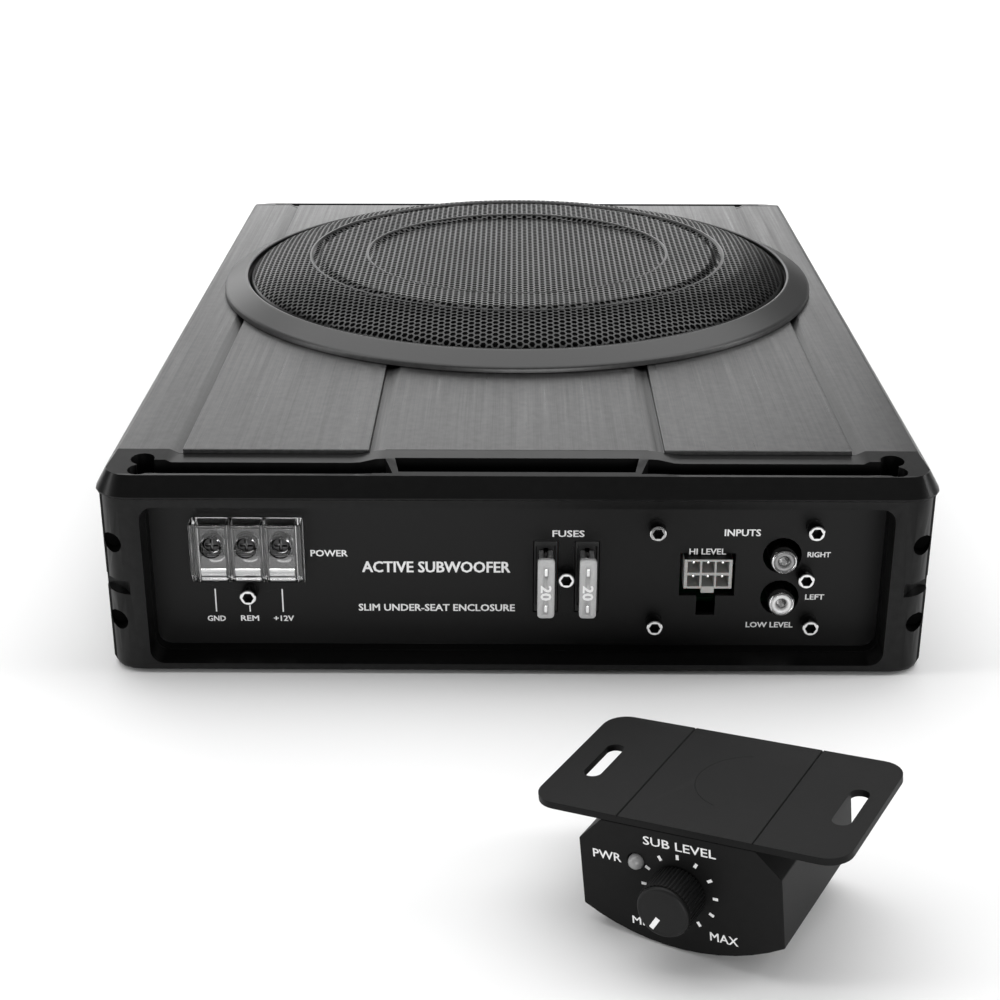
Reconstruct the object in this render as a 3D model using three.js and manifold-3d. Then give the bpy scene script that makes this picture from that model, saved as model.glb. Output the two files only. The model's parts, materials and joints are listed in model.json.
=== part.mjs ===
// Slim powered car subwoofer: an extruded enclosure between two end caps, a shallow ten inch
// driver under a stamped grille, a recessed connection panel and a wired level control.
// Millimetres, +Z up. The origin is the middle of the enclosure's underside, and the
// connection panel faces -Y.

import * as THREE from 'three';
import { mergeVertices } from 'three/addons/utils/BufferGeometryUtils.js';
import Module from 'manifold-3d';

const wasm = await Module();
wasm.setup();

// ---------------------------------------------------------------- driving dimensions
const GAP = 0.3;                       // clearance between separate pieces
const LENGTH = 340;                    // front cap face to rear cap face
const WIDTH = 250;                     // across the shoulder of the caps
const HALF = WIDTH / 2;
const SHOULDER_Z = 57.8;               // where the side walls end and the chamfer starts
const LOW_Z = 63.8;                    // groove floors and cap tops
const TOP_Z = 65.2;                    // brushed panels
const CHAMFER = 3.3;
const CORNER_R = 11;                   // plan radius of the four corners
const WALL_INSET = 0.8;                // side walls sit this far inside the shoulder
const FRONT_CAP = 20.3;                // cap depths
const REAR_CAP = 12;

const STEP_X = { centre: 39.3, slope: 42.3, panelIn: 44.4, panelOut: 100.5, floor: 101.6,
  strip: 104.5, stripOut: 120 };       // half-profile of the top, from the middle outwards
const TOP_WALL = 3.9;
const SIDE_WALL = 2.5;
const SHELL_FOOT_Z = 2.9;              // lower edge of the extrusion's sides
const BASE_T = 2.6;

const RECESS = { half: 111, low: 3, high: 54.5, corner: 4.2, seat: 9.7, panel: 14 };
const POCKET_GROW = 2.6;               // the panel tray is this much larger than the recess

const DRIVER_S = 205.5;                // driver centre behind the front face
const RING_R = 114.7;
const MESH_R = 105;
const HOLE_R = 103.5;
const GRILLE_TOP = 77.2;

const BOARD_Z = 8;

const REMOTE = { x: 39.1, s: -133, yaw: -29.1, rock: -6, plateW: 78.2, plateD: 45.5, plateT: 1.8,
  plateShift: 1.2, width: 50.8, depth: 46, height: 31, sagitta: 6.9, shoulder: 6.2, wall: 2 };

const ROUND = 24;                      // sides of small round pieces
const FINE = 48;                       // sides of the driver-sized round pieces

// ---------------------------------------------------------------- finishes
const finish = (color, roughness, metalness) =>
  new THREE.MeshStandardMaterial({ color, roughness, metalness });
const FINISH = {
  anodised: finish(0x35363a, 0.38, 0.85),
  satin: finish(0x17181a, 0.45, 0.1),
  panel: finish(0x1b1c1e, 0.55, 0.0),
  mesh: finish(0x2a2b2d, 0.4, 0.7),
  steel: finish(0x8d9094, 0.35, 1.0),
  nickel: finish(0xc9cbce, 0.2, 1.0),
  screw: finish(0xa9abae, 0.3, 1.0),
  plastic: finish(0x121314, 0.6, 0.0),
  clear: finish(0xe6eef0, 0.08, 0.0),
  nylon: finish(0xe4e2da, 0.5, 0.0),
  fuse: finish(0xc9ccce, 0.25, 0.0),
  ferrite: finish(0x2b2b2c, 0.7, 0.2),
  paper: finish(0x1d1d1e, 0.8, 0.0),
  rubber: finish(0x101011, 0.7, 0.0),
  cloth: finish(0xb08a4a, 0.9, 0.0),
  board: finish(0x1e4a2c, 0.5, 0.0),
  copper: finish(0xb0703a, 0.4, 1.0),
  white: finish(0xdcdedf, 0.4, 0.0),
  lamp: finish(0x9a9c9e, 0.2, 0.0),
};

// ---------------------------------------------------------------- geometry helpers
const fromFront = (s) => -LENGTH / 2 + s;
const radians = (degrees) => (degrees * Math.PI) / 180;

// Shared vertices, no zero-area faces, faces pointing out.
function tidy(geometry) {
  const bare = new THREE.BufferGeometry();
  bare.setAttribute('position', geometry.getAttribute('position').clone());
  if (geometry.index) bare.setIndex(geometry.index.clone());
  const merged = mergeVertices(bare, 1e-4);
  const p = merged.getAttribute('position').array;
  const index = merged.index.array;
  const kept = [];
  let volume = 0;
  const at = (i) => new THREE.Vector3(p[3 * i], p[3 * i + 1], p[3 * i + 2]);
  for (let i = 0; i < index.length; i += 3) {
    const [a, b, c] = [index[i], index[i + 1], index[i + 2]];
    if (a === b || b === c || a === c) continue;
    kept.push(a, b, c);
    volume += at(a).dot(at(b).cross(at(c)));
  }
  if (volume < 0) kept.reverse();
  merged.setIndex(kept);
  return merged;
}

function solid(geometry) {
  const closed = tidy(geometry);
  return new wasm.Manifold(new wasm.Mesh({
    numProp: 3,
    vertProperties: new Float32Array(closed.getAttribute('position').array),
    triVerts: new Uint32Array(closed.index.array),
  }));
}

function geometryOf(manifold) {
  const mesh = manifold.getMesh();
  const geometry = new THREE.BufferGeometry();
  geometry.setAttribute('position', new THREE.BufferAttribute(mesh.vertProperties, 3));
  geometry.setIndex(new THREE.BufferAttribute(mesh.triVerts, 1));
  return geometry;
}

const cut = (body, ...tools) =>
  geometryOf(tools.reduce((whole, tool) => whole.subtract(solid(tool)), solid(body)));
const join = (body, ...others) =>
  geometryOf(others.reduce((whole, other) => whole.add(solid(other)), solid(body)));
const common = (a, b) => geometryOf(solid(a).intersect(solid(b)));

function block([x0, x1], [y0, y1], [z0, z1]) {
  return new THREE.BoxGeometry(x1 - x0, y1 - y0, z1 - z0)
    .translate((x0 + x1) / 2, (y0 + y1) / 2, (z0 + z1) / 2);
}

function shapeOf(points) {
  return new THREE.Shape(points.map(([x, y]) => new THREE.Vector2(x, y)));
}

// An outline in X and Z, pushed along Y from y0 to y1.
function prismY(shape, y0, y1) {
  return new THREE.ExtrudeGeometry(shape, { depth: y1 - y0, bevelEnabled: false, curveSegments: 4 })
    .rotateX(Math.PI / 2).translate(0, y1, 0);
}

// An outline in X and Y, pushed along Z from z0 to z1.
function prismZ(shape, z0, z1) {
  return new THREE.ExtrudeGeometry(shape, { depth: z1 - z0, bevelEnabled: false, curveSegments: 4 })
    .translate(0, 0, z0);
}

// An outline in Y and Z, pushed along X from x0 to x1.
function prismX(points, x0, x1) {
  const shape = shapeOf(points.map(([y, z]) => [z, y]));
  return new THREE.ExtrudeGeometry(shape, { depth: x1 - x0, bevelEnabled: false, curveSegments: 4 })
    .applyMatrix4(new THREE.Matrix4().set(0, 0, 1, x0, 0, 1, 0, 0, 1, 0, 0, 0, 0, 0, 0, 1));
}

function roundedRect(x0, x1, y0, y1, r) {
  const shape = new THREE.Shape();
  shape.moveTo(x0 + r, y0).lineTo(x1 - r, y0).absarc(x1 - r, y0 + r, r, -Math.PI / 2, 0);
  shape.lineTo(x1, y1 - r).absarc(x1 - r, y1 - r, r, 0, Math.PI / 2);
  shape.lineTo(x0 + r, y1).absarc(x0 + r, y1 - r, r, Math.PI / 2, Math.PI);
  shape.lineTo(x0, y0 + r).absarc(x0 + r, y0 + r, r, Math.PI, 1.5 * Math.PI);
  return shape;
}

// A profile of [radius, height] turned about Z. It starts and ends on the axis, or closes.
function turned(profile, sides = FINE) {
  const onAxis = profile[0][0] === 0 && profile.at(-1)[0] === 0;
  const points = onAxis ? profile : [...profile, profile[0]];
  return new THREE.LatheGeometry(points.map(([r, z]) => new THREE.Vector2(r, z)), sides)
    .rotateX(Math.PI / 2);
}

const rodZ = (r, z0, z1, x = 0, y = 0, sides = ROUND) =>
  turned([[0, z0], [r, z0], [r, z1], [0, z1]], sides).translate(x, y, 0);
const rodY = (r, y0, y1, x = 0, z = 0, sides = ROUND) =>
  turned([[0, -y1], [r, -y1], [r, -y0], [0, -y0]], sides).rotateX(Math.PI / 2).translate(x, 0, z);
// A turned profile whose axis lies along Y, with its height counted towards -Y.
const turnedY = (profile, x, y, z, sides = ROUND) =>
  turned(profile, sides).rotateX(Math.PI / 2).translate(x, y, z);

// A skin over closed rings of equal point count, with flat ends.
function loft(rings) {
  const count = rings[0].length;
  const points = rings.flat();
  const index = [];
  for (let k = 0; k + 1 < rings.length; k += 1) {
    for (let i = 0; i < count; i += 1) {
      const j = (i + 1) % count;
      const [a, b, c, d] = [k * count + i, k * count + j, (k + 1) * count + j, (k + 1) * count + i];
      index.push(a, b, c, a, c, d);
    }
  }
  const normal = new THREE.Vector3();
  rings[0].forEach((p, i) => normal.add(p.clone().cross(rings[0][(i + 1) % count])));
  const flat = Math.abs(normal.z) > Math.abs(normal.y)
    ? (p) => new THREE.Vector2(p.x, p.y) : (p) => new THREE.Vector2(p.x, p.z);
  const lastRing = (rings.length - 1) * count;
  for (const [ring, offset, turn] of [[rings[0], 0, -1], [rings.at(-1), lastRing, 1]]) {
    const outline = ring.map(flat);
    const way = turn * Math.sign(THREE.ShapeUtils.area(outline));
    for (const [a, b, c] of THREE.ShapeUtils.triangulateShape(outline, [])) {
      const same = way * THREE.ShapeUtils.area([outline[a], outline[b], outline[c]]) > 0;
      index.push(offset + a, offset + (same ? b : c), offset + (same ? c : b));
    }
  }
  const geometry = new THREE.BufferGeometry();
  geometry.setAttribute('position', new THREE.Float32BufferAttribute(
    points.flatMap((p) => [p.x, p.y, p.z]), 3));
  geometry.setIndex(index);
  return geometry;
}

const assembly = new THREE.Group();

function add(name, geometry, material, parent = assembly) {
  const mesh = new THREE.Mesh(tidy(geometry), material);
  mesh.name = name;
  parent.add(mesh);
  return mesh;
}

// ---------------------------------------------------------------- enclosure extrusion
// Right half of the top, from the middle to the shoulder, as [x, z].
const TOP_PROFILE = [
  [STEP_X.centre, TOP_Z], [STEP_X.slope, LOW_Z], [STEP_X.panelIn, LOW_Z], [STEP_X.panelIn, TOP_Z],
  [STEP_X.panelOut, TOP_Z], [STEP_X.panelOut, LOW_Z], [STEP_X.floor, LOW_Z], [STEP_X.strip, TOP_Z],
  [STEP_X.stripOut, TOP_Z], [HALF - CHAMFER, LOW_Z], [HALF, SHOULDER_Z],
];
const mirrored = (half) => [...half, ...half.map(([x, z]) => [-x, z]).reverse()];

function enclosureExtrusion() {
  const outer = HALF - WALL_INSET;
  const inner = outer - SIDE_WALL;
  const roof = TOP_Z - TOP_WALL;
  const section = mirrored([
    ...TOP_PROFILE, [outer, SHOULDER_Z - 0.6], [outer, SHELL_FOOT_Z], [inner, SHELL_FOOT_Z],
    [inner, SHOULDER_Z - 2], [inner - 4, roof],
  ]);
  const start = fromFront(FRONT_CAP + GAP);
  const end = fromFront(LENGTH - REAR_CAP - GAP);
  const body = prismY(shapeOf(section), start, end);
  return cut(body, rodZ(HOLE_R, roof - 5, TOP_Z + 5, 0, fromFront(DRIVER_S), FINE));
}

function basePlate() {
  const edge = HALF - WALL_INSET;
  const section = mirrored([[edge, BASE_T], [edge, 1.4], [edge - 1.4, 0]]);
  return prismY(shapeOf(section), fromFront(FRONT_CAP + GAP), fromFront(LENGTH - REAR_CAP - GAP));
}

add('enclosure_extrusion', enclosureExtrusion(), FINISH.anodised);
add('base_plate', basePlate(), FINISH.satin);

// ---------------------------------------------------------------- end caps
// Plan outline of a cap whose outer face is y = 0, inset all round but not at its joint.
function capOutline(inset, depth, z) {
  const r = CORNER_R - inset;
  const steps = 5;
  const ring = [new THREE.Vector3(-(HALF - inset), depth, z)];
  for (const side of [-1, 1]) {
    for (let i = 0; i <= steps; i += 1) {
      const turn = ((side < 0 ? i : steps - i) / steps) * (Math.PI / 2);
      ring.push(new THREE.Vector3(side * (HALF - CORNER_R + r * Math.cos(turn)),
        CORNER_R - r * Math.sin(turn), z));
    }
  }
  ring.push(new THREE.Vector3(HALF - inset, depth, z));
  return ring;
}

// Cap section from the floor up, as [height, inset].
const CAP_LEVELS = [[0, 2.6], [0.7, 1.4], [2.2, WALL_INSET], [SHOULDER_Z - 0.8, WALL_INSET],
  [SHOULDER_Z - 0.2, 0], [SHOULDER_Z + 0.2, 0], [LOW_Z, CHAMFER]];

// The raised middle and edge strips run out of the extrusion and die away towards the face.
function capPads(depth, middle) {
  const strip = [[4.5, 0.02], [depth, TOP_Z - LOW_Z]];
  const at = (stations, outline) => loft(stations.map(([s, rise]) =>
    outline(rise).map(([x, z]) => new THREE.Vector3(x, s, z))));
  const sunk = LOW_Z - 1;
  const swell = [[49.2, 0], [46.6, 0.12], [44.3, 0.5], [42, 0.88], [39.4, 1]];
  const centre = at(middle, (rise) => mirrored([
    [49.2, sunk], ...swell.map(([x, share]) => [x, LOW_Z + rise * share])]));
  const edge = (side) => at(strip, (rise) => [[STEP_X.floor, sunk], [HALF - CHAMFER, sunk],
    [HALF - CHAMFER, LOW_Z], [STEP_X.stripOut, LOW_Z + rise], [STEP_X.strip, LOW_Z + rise],
    [STEP_X.floor, LOW_Z]].map(([x, z]) => [side * x, z]));
  const plan = loft([sunk - 1, TOP_Z + 1].map((z) => capOutline(CHAMFER, depth, z)));
  return common(join(centre, edge(-1), edge(1)), plan);
}

function endCap({ depth, middle, slots, slotDepth, seat, pockets }) {
  const shell = loft(CAP_LEVELS.map(([z, inset]) => capOutline(inset, depth, z)));
  const { half, low, high, corner } = RECESS;
  const opening = prismY(roundedRect(-half, half, low, high, corner), -1, depth + 1);
  const grow = POCKET_GROW;
  const tray = prismY(roundedRect(-half - grow, half + grow, low - grow / 2, high + grow / 2, 5),
    seat, depth + 1);
  const floor = LOW_Z - slotDepth;
  const channels = slots.map((points) => prismZ(shapeOf(points), floor, TOP_Z + 1));
  const wells = [-1, 1].flatMap((side) => pockets.map(([x, s, r]) =>
    rodZ(r, floor, TOP_Z + 1, side * x, s, 14)));
  const holes = [-1, 1].flatMap((side) => [16.8, 42.3].map((z) => cornerBore(side, z)));
  const notches = [-1, 1].map((side) => rodZ(14.5, 26, 30.4, side * (HALF + 4), -4, 40));
  return cut(join(shell, capPads(depth, middle)), opening, tray, ...channels, ...wells, ...holes,
    ...notches);
}

// A round hole drilled straight back into the rounded corner.
const cornerBore = (side, z) => rodY(3.1, -1, 7.4, side * (HALF - 4.9), z, 16);

function slotPlan(near, far, lean) {
  const side = (sign) => [[sign * 112.5, near], [sign * 36.4, near], [sign * (36.4 + lean), far],
    [sign * 112.5, far]];
  return [side(-1), side(1),
    [[-34.7, near + 0.8], [34.7, near + 0.8], [34.7 + 0.6 * lean, far + 0.6],
      [-34.7 - 0.6 * lean, far + 0.6]]];
}

const frontCap = endCap({
  depth: FRONT_CAP, seat: RECESS.seat, slotDepth: 5.6,
  middle: [[3.4, 0.02], [7, 0.7], [13.5, 1.4], [FRONT_CAP, 1.4]],
  slots: slotPlan(4.7, 13.4, 2.6), pockets: [[111.3, 14, 3.6], [111.3, 7, 3.3]],
}).translate(0, fromFront(0), 0);

const REAR_SEAT = 5;
const rearCap = endCap({
  depth: REAR_CAP, seat: REAR_SEAT, slotDepth: 5.6,
  middle: [[3.4, 0.02], [8, 0.7], [REAR_CAP, 1.4]],
  slots: slotPlan(4, 8.6, 1.4), pockets: [[109, 6.3, 2.6]],
}).rotateZ(Math.PI).translate(0, fromFront(LENGTH), 0);

add('front_cap', frontCap, FINISH.satin);
add('rear_cap', rearCap, FINISH.satin);

// ---------------------------------------------------------------- panels
// A shallow tray: a plate with a rim that meets the cap's ledge.
function panelTray(seat, face, thickness) {
  const { half, low, high, corner } = RECESS;
  const grow = POCKET_GROW - GAP;
  const outer = roundedRect(-half - grow, half + grow, low - grow / 2, high + grow / 2, 4.8);
  return cut(prismY(outer, seat + GAP, face + thickness),
    prismY(roundedRect(-half, half, low, high, corner), seat - 1, face));
}

const PANEL_T = 2;
const TERMINAL = { x: -81.4, pitch: 10.4, low: 24, high: 45.4, cells: 3, half: 16.6, screwZ: 38.4 };
const FUSE = { x: [8.9, 21.5], low: 16.9, high: 36, half: 2.6, front: 4 };
const SOCKET = { x: 58.1, z: 28.7, width: 14.6, height: 9.8, front: 11 };
const RCA = { x: 80.7, z: { right: 33.6, left: 19.4 }, r: 4.1, hole: 5.9, front: 8.8 };
const PANEL_SCREWS = [[-81.6, 21.4], [15.1, 27.6], [42.3, 43.2], [42.3, 11.6], [89.7, 43.4],
  [89.9, 11.7], [87.6, 27.7]];
const SCREW_FRONT = 8.2;

function controlPanel() {
  const { panel, seat } = RECESS;
  const through = [panel - 1, panel + PANEL_T + 1];
  const { x, low, high, half } = TERMINAL;
  const windows = [
    block([x - half, x + half], through, [low, high]),
    ...FUSE.x.map((fx) => block([fx - 3.8, fx + 3.8], through, [14.2, 38.2])),
    block([SOCKET.x - 8.3, SOCKET.x + 8.6], through, [20, 34.3]),
    block([SOCKET.x - 2.9, SOCKET.x + 2.9], through, [13.4, 21]),
    ...Object.values(RCA.z).map((z) => rodY(RCA.hole, ...through, RCA.x, z, 20)),
    ...PANEL_SCREWS.map(([sx, sz]) => rodY(1.9, ...through, sx, sz, 10)),
  ];
  return cut(panelTray(seat, panel, PANEL_T), ...windows).translate(0, fromFront(0), 0);
}

add('control_panel', controlPanel(), FINISH.panel);

// Cap screws whose heads stand proud of the panel, with a hexagon socket.
function panelScrew(x, z) {
  const face = SCREW_FRONT;
  const head = turnedY([[0, -5], [1.5, -5], [1.5, 0.2], [2.55, 0.2], [2.55, 5.2], [2.3, 5.5],
    [0, 5.5]], x, RECESS.panel - 0.4, z, 12);
  const key = new THREE.CylinderGeometry(1.55, 1.55, 6, 6).translate(x, face - 0.1, z);
  return cut(head, key).translate(0, fromFront(0), 0);
}
PANEL_SCREWS.forEach(([x, z], i) => add(`panel_screw_${i + 1}`, panelScrew(x, z), FINISH.screw));

// ---------------------------------------------------------------- power terminals
function terminalBlock() {
  const { x, low, high, half } = TERMINAL;
  const body = block([x - half + GAP, x + half - GAP], [13.9, 28], [low + GAP, high - GAP]);
  const holes = cellCentres().map((cx) => rodY(2, 12, 24, cx, TERMINAL.screwZ, 14));
  return cut(body, ...holes).translate(0, fromFront(0), 0);
}

function cellCentres() {
  const first = TERMINAL.x - (TERMINAL.pitch * (TERMINAL.cells - 1)) / 2;
  return Array.from({ length: TERMINAL.cells }, (_, i) => first + TERMINAL.pitch * i);
}

// A plated saddle: flat behind the screw, with a curled lip over the wire entry.
function terminalClamp(cx) {
  const side = [[13.6, 43.2], [12.4, 43.2], [12.4, 34], [10.9, 31.6], [10.1, 30.4], [10.1, 29.4],
    [11.2, 26.6], [13.6, 25.4], [13.6, 26.6], [12, 27.6], [11.3, 29.4], [11.3, 30], [12.2, 31.6],
    [13.6, 33.4]];
  const plate = prismX(side, cx - 4, cx + 4);
  return cut(plate, rodY(2.1, 5, 20, cx, TERMINAL.screwZ, 16)).translate(0, fromFront(0), 0);
}

// Pan-head terminal screw with a cross recess; its axis lies along Y.
function terminalScrew(cx) {
  const z = TERMINAL.screwZ;
  const head = turnedY([[0, -8], [1.6, -8], [1.6, 0.3], [3, 0.3], [3, 1.6], [2.4, 2.4], [0, 2.6]],
    cx, 12.2, z, 16);
  const cross = [block([cx - 1.9, cx + 1.9], [8, 10.6], [z - 0.4, z + 0.4]),
    block([cx - 0.4, cx + 0.4], [8, 10.6], [z - 1.9, z + 1.9])];
  return cut(head, ...cross).translate(0, fromFront(0), 0);
}

// Moulded clear cover: one bay for each terminal, open behind and below.
function terminalCover() {
  const { x } = TERMINAL;
  const side = [[13.6, 45.9], [7.4, 45.9], [7.4, 31.5], [8.2, 28.4], [10, 25.9], [13.6, 24.3]];
  const shell = prismX(side, x - 16.9, x + 16.9);
  const room = [[15, 44.8], [8.5, 44.8], [8.5, 31.7], [9.2, 29], [9.7, 28.2], [9.7, 20], [15, 20]];
  const bays = cellCentres().map((cx) => prismX(room, cx - 4.55, cx + 4.55));
  return cut(shell, ...bays).translate(0, fromFront(0), 0);
}

cellCentres().forEach((cx, i) => {
  add(`terminal_clamp_${i + 1}`, terminalClamp(cx), FINISH.nickel);
  add(`terminal_screw_${i + 1}`, terminalScrew(cx), FINISH.screw);
});
add('terminal_block', terminalBlock(), FINISH.plastic);
add('terminal_cover', terminalCover(), FINISH.clear);

// ---------------------------------------------------------------- fuses
const FUSE_MID = (FUSE.low + FUSE.high) / 2;
const BLADES = [-5.6, 5.6];

function fuseHolder(x) {
  const body = block([x - 3.6, x + 3.6], [RECESS.panel + 0.2, 30], [14.4, 38]);
  const seat = block([x - FUSE.half - GAP, x + FUSE.half + GAP], [10, 15.6],
    [FUSE.low - 0.4, FUSE.high + 0.4]);
  const slits = BLADES.map((dz) =>
    block([x - 0.7, x + 0.7], [12, 26], [FUSE_MID + dz - 3, FUSE_MID + dz + 3]));
  return cut(body, seat, ...slits).translate(0, fromFront(0), 0);
}

// Blade fuse: a translucent body with a waisted middle and two flat blades behind it.
function fuse(x) {
  const { half, low, high, front } = FUSE;
  const body = block([x - half, x + half], [front, 15.2], [low, high]);
  const waist = [-1, 1].map((side) =>
    block([x + side * half - 0.5, x + side * half + 0.5], [front + 4.4, 15.4], [low - 1, high + 1]));
  const tips = [[low - 1, low + 0.9], [high - 0.9, high + 1]].map((z) =>
    block([x - 4, x + 4], [front + 5, 16], z));
  const blades = BLADES.map((dz) =>
    block([x - 0.35, x + 0.35], [14, 22], [FUSE_MID + dz - 2.6, FUSE_MID + dz + 2.6]));
  return join(cut(body, ...waist, ...tips), ...blades).translate(0, fromFront(0), 0);
}

FUSE.x.forEach((x, i) => {
  add(`fuse_holder_${i + 1}`, fuseHolder(x), FINISH.plastic);
  add(`fuse_${i + 1}`, fuse(x), FINISH.fuse);
});

// ---------------------------------------------------------------- signal inputs
// Six-way speaker-level header: two rows of three square wells with a latch below.
function highLevelSocket() {
  const { x, z, width, height, front } = SOCKET;
  const body = block([x - width / 2, x + width / 2], [front, 25], [z - height / 2, z + height / 2]);
  const latch = block([x - 2, x + 2], [front, 20], [z - height / 2 - 1.4, z - height / 2 + 0.5]);
  const wells = [-1, 0, 1].flatMap((column) => [-1, 1].map((row) =>
    block([x + column * 4.4 - 1.85, x + column * 4.4 + 1.85], [front - 1, front + 9],
      [z + row * 2.3 - 1.8, z + row * 2.3 + 1.8])));
  return cut(join(body, latch), ...wells).translate(0, fromFront(0), 0);
}
add('high_level_socket', highLevelSocket(), FINISH.nylon);

for (const [side, z] of Object.entries(RCA.z)) {
  const depth = 24 - RCA.front;
  const shell = turnedY([[RCA.r - 0.6, 0], [RCA.r, 0], [RCA.r, depth - 0.6], [RCA.r - 0.3, depth],
    [RCA.r - 0.7, depth], [RCA.r - 0.6, depth - 1]], RCA.x, 24, z, 20);
  const insert = turnedY([[0, 0.5], [3.2, 0.5], [3.2, depth - 0.8], [1.65, depth - 0.8],
    [1.65, depth - 7], [0, depth - 7]], RCA.x, 24, z, 14);
  add(`rca_shell_${side}`, shell.translate(0, fromFront(0), 0), FINISH.nickel);
  add(`rca_insulator_${side}`, insert.translate(0, fromFront(0), 0), FINISH.white);
}

// ---------------------------------------------------------------- rear controls
const REAR_FACE = 8;                    // panel surface behind the rear cap's face
const REAR_KNOBS = { gain: -62, crossover: -32, boost: -2 };
const REAR_MID_Z = 30;
const KNOB = { r: 5, shaft: 1.5, proud: 6.6 };
const SWITCH_X = 30;
const JACK_X = 62;
const fromRear = (geometry) => geometry.rotateZ(Math.PI).translate(0, fromFront(LENGTH), 0);

function rearPanel() {
  const through = [REAR_FACE - 1, REAR_FACE + 4];
  const windows = [
    ...Object.values(REAR_KNOBS).map((x) => rodY(KNOB.shaft + GAP, ...through, x, REAR_MID_Z, 12)),
    block([SWITCH_X - 4.2, SWITCH_X + 4.2], through, [REAR_MID_Z - 2.2, REAR_MID_Z + 2.2]),
    block([JACK_X - 6.3, JACK_X + 6.3], through, [REAR_MID_Z - 5.6, REAR_MID_Z + 5.6]),
  ];
  return fromRear(cut(panelTray(REAR_SEAT, REAR_FACE, 1.8), ...windows));
}

function rearKnob(x) {
  const body = turnedY([[0, -4], [KNOB.shaft, -4], [KNOB.shaft, 0.4], [KNOB.r, 0.4],
    [KNOB.r - 0.3, KNOB.proud - 0.6], [KNOB.r - 0.9, KNOB.proud], [0, KNOB.proud]],
    x, REAR_FACE, REAR_MID_Z, 16);
  const pointer = block([x - 0.4, x + 0.4], [0, REAR_FACE - KNOB.proud + 0.5],
    [REAR_MID_Z + 1, REAR_MID_Z + KNOB.r + 1]);
  return fromRear(cut(body, pointer));
}

// A slider whose wider foot runs behind the panel.
function phaseSwitch() {
  const z = REAR_MID_Z;
  const lever = block([SWITCH_X - 2.6, SWITCH_X - 0.4], [REAR_FACE - 1.6, REAR_FACE + 2],
    [z - 1.6, z + 1.6]);
  const foot = block([SWITCH_X - 2.9, SWITCH_X + 0.2], [REAR_FACE + 1.9, REAR_FACE + 3],
    [z - 1.7, z + 1.7]);
  return fromRear(join(lever, foot));
}

function remoteJack() {
  const z = REAR_MID_Z;
  const body = block([JACK_X - 6, JACK_X + 6], [REAR_FACE - 0.8, 22], [z - 5.3, z + 5.3]);
  const mouth = block([JACK_X - 4.9, JACK_X + 4.9], [REAR_FACE - 2, 18], [z - 3.4, z + 3.4]);
  const latch = block([JACK_X - 1.6, JACK_X + 1.6], [REAR_FACE - 2, 18], [z - 5, z]);
  return fromRear(cut(body, mouth, latch));
}

add('rear_panel', rearPanel(), FINISH.panel);
for (const [name, x] of Object.entries(REAR_KNOBS)) add(`${name}_knob`, rearKnob(x), FINISH.plastic);
add('phase_switch', phaseSwitch(), FINISH.white);
add('remote_jack', remoteJack(), FINISH.plastic);

// ---------------------------------------------------------------- driver
const driver = new THREE.Group();
driver.position.y = fromFront(DRIVER_S);
assembly.add(driver);

const RING_PROFILE = [[RING_R, 65.5], [RING_R, 66.6], [RING_R - 1, 67.2], [106.4, 70.6], [105.8, 71],
  [105.8, 69.9], [113.2, 66.4], [113.2, 65.5]];

// Stamped dome: a raised band with a groove round it, stepping down to a lower middle.
const MESH_TOP = [[57.2, 75.6], [58.6, 76.9], [76.6, 77], [78.5, 75.8], [80.4, GRILLE_TOP],
  [88, 75.9], [96, 73.8], [102, 71.6], [MESH_R, 68.4]];
const MESH_T = 1;

function grilleMesh() {
  const top = [[0, 75.4], ...MESH_TOP];
  const under = top.map(([r, z]) => [Math.max(0, r - (r > 90 ? 0.5 : 0)), z - MESH_T]).reverse();
  under[0] = [MESH_R - 1, 67.6];
  return turned([...top, [MESH_R, 67.6], ...under]);
}

function driverFrame() {
  const profile = [[110.5, 67.1], [110.5, 66.3], [97.6, 66.3], [95.4, 58], [58.5, 37.4], [54, 32.6],
    [38, 32.6], [38, 34], [52.6, 34], [57, 39.4], [50, 41.6], [50, 43], [59.6, 43], [93.6, 59.6],
    [95.6, 67.1]];
  const windows = Array.from({ length: 6 }, (_, i) =>
    block([64, 90], [-17, 17], [30, 66]).rotateZ(radians(60 * i + 30)));
  return cut(turned(profile, 36), ...windows);
}

add('grille_ring', turned(RING_PROFILE), FINISH.satin, driver);
add('grille_mesh', grilleMesh(), FINISH.mesh, driver);
add('driver_frame', driverFrame(), FINISH.steel, driver);
add('driver_gasket', turned([[104.4, 65.5], [110.5, 65.5], [110.5, 66], [104.4, 66]]),
  FINISH.rubber, driver);
add('top_plate', turned([[20.4, 26.8], [50, 26.8], [50, 32.3], [20.4, 32.3]], ROUND),
  FINISH.steel, driver);
add('magnet', turned([[26, 13], [53, 13], [53, 26.5], [26, 26.5]], ROUND), FINISH.ferrite, driver);
add('yoke', turned([[0, 7], [50, 7], [50, 12.7], [18.2, 12.7], [18.2, 32.3], [0, 32.3]], ROUND),
  FINISH.steel, driver);
add('voice_coil', turned([[18.7, 22], [19.7, 22], [19.7, 36], [19.2, 36], [19.2, 46.6],
  [18.7, 46.6]], ROUND), FINISH.copper, driver);

// Spider: concentric corrugations between the coil and the frame's ledge.
function spider() {
  const [inner, outer, waves] = [20, 50.6, 4];
  const steps = waves * 2;
  const middle = Array.from({ length: steps + 1 }, (_, i) => [
    inner + ((outer - inner) * i) / steps, 44.4 + (i % 2 ? 0.9 : 0)]);
  const under = middle.map(([r, z]) => [r, z - 0.6]).reverse();
  return turned([...middle, ...under], 28);
}
add('spider', spider(), FINISH.cloth, driver);

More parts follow.
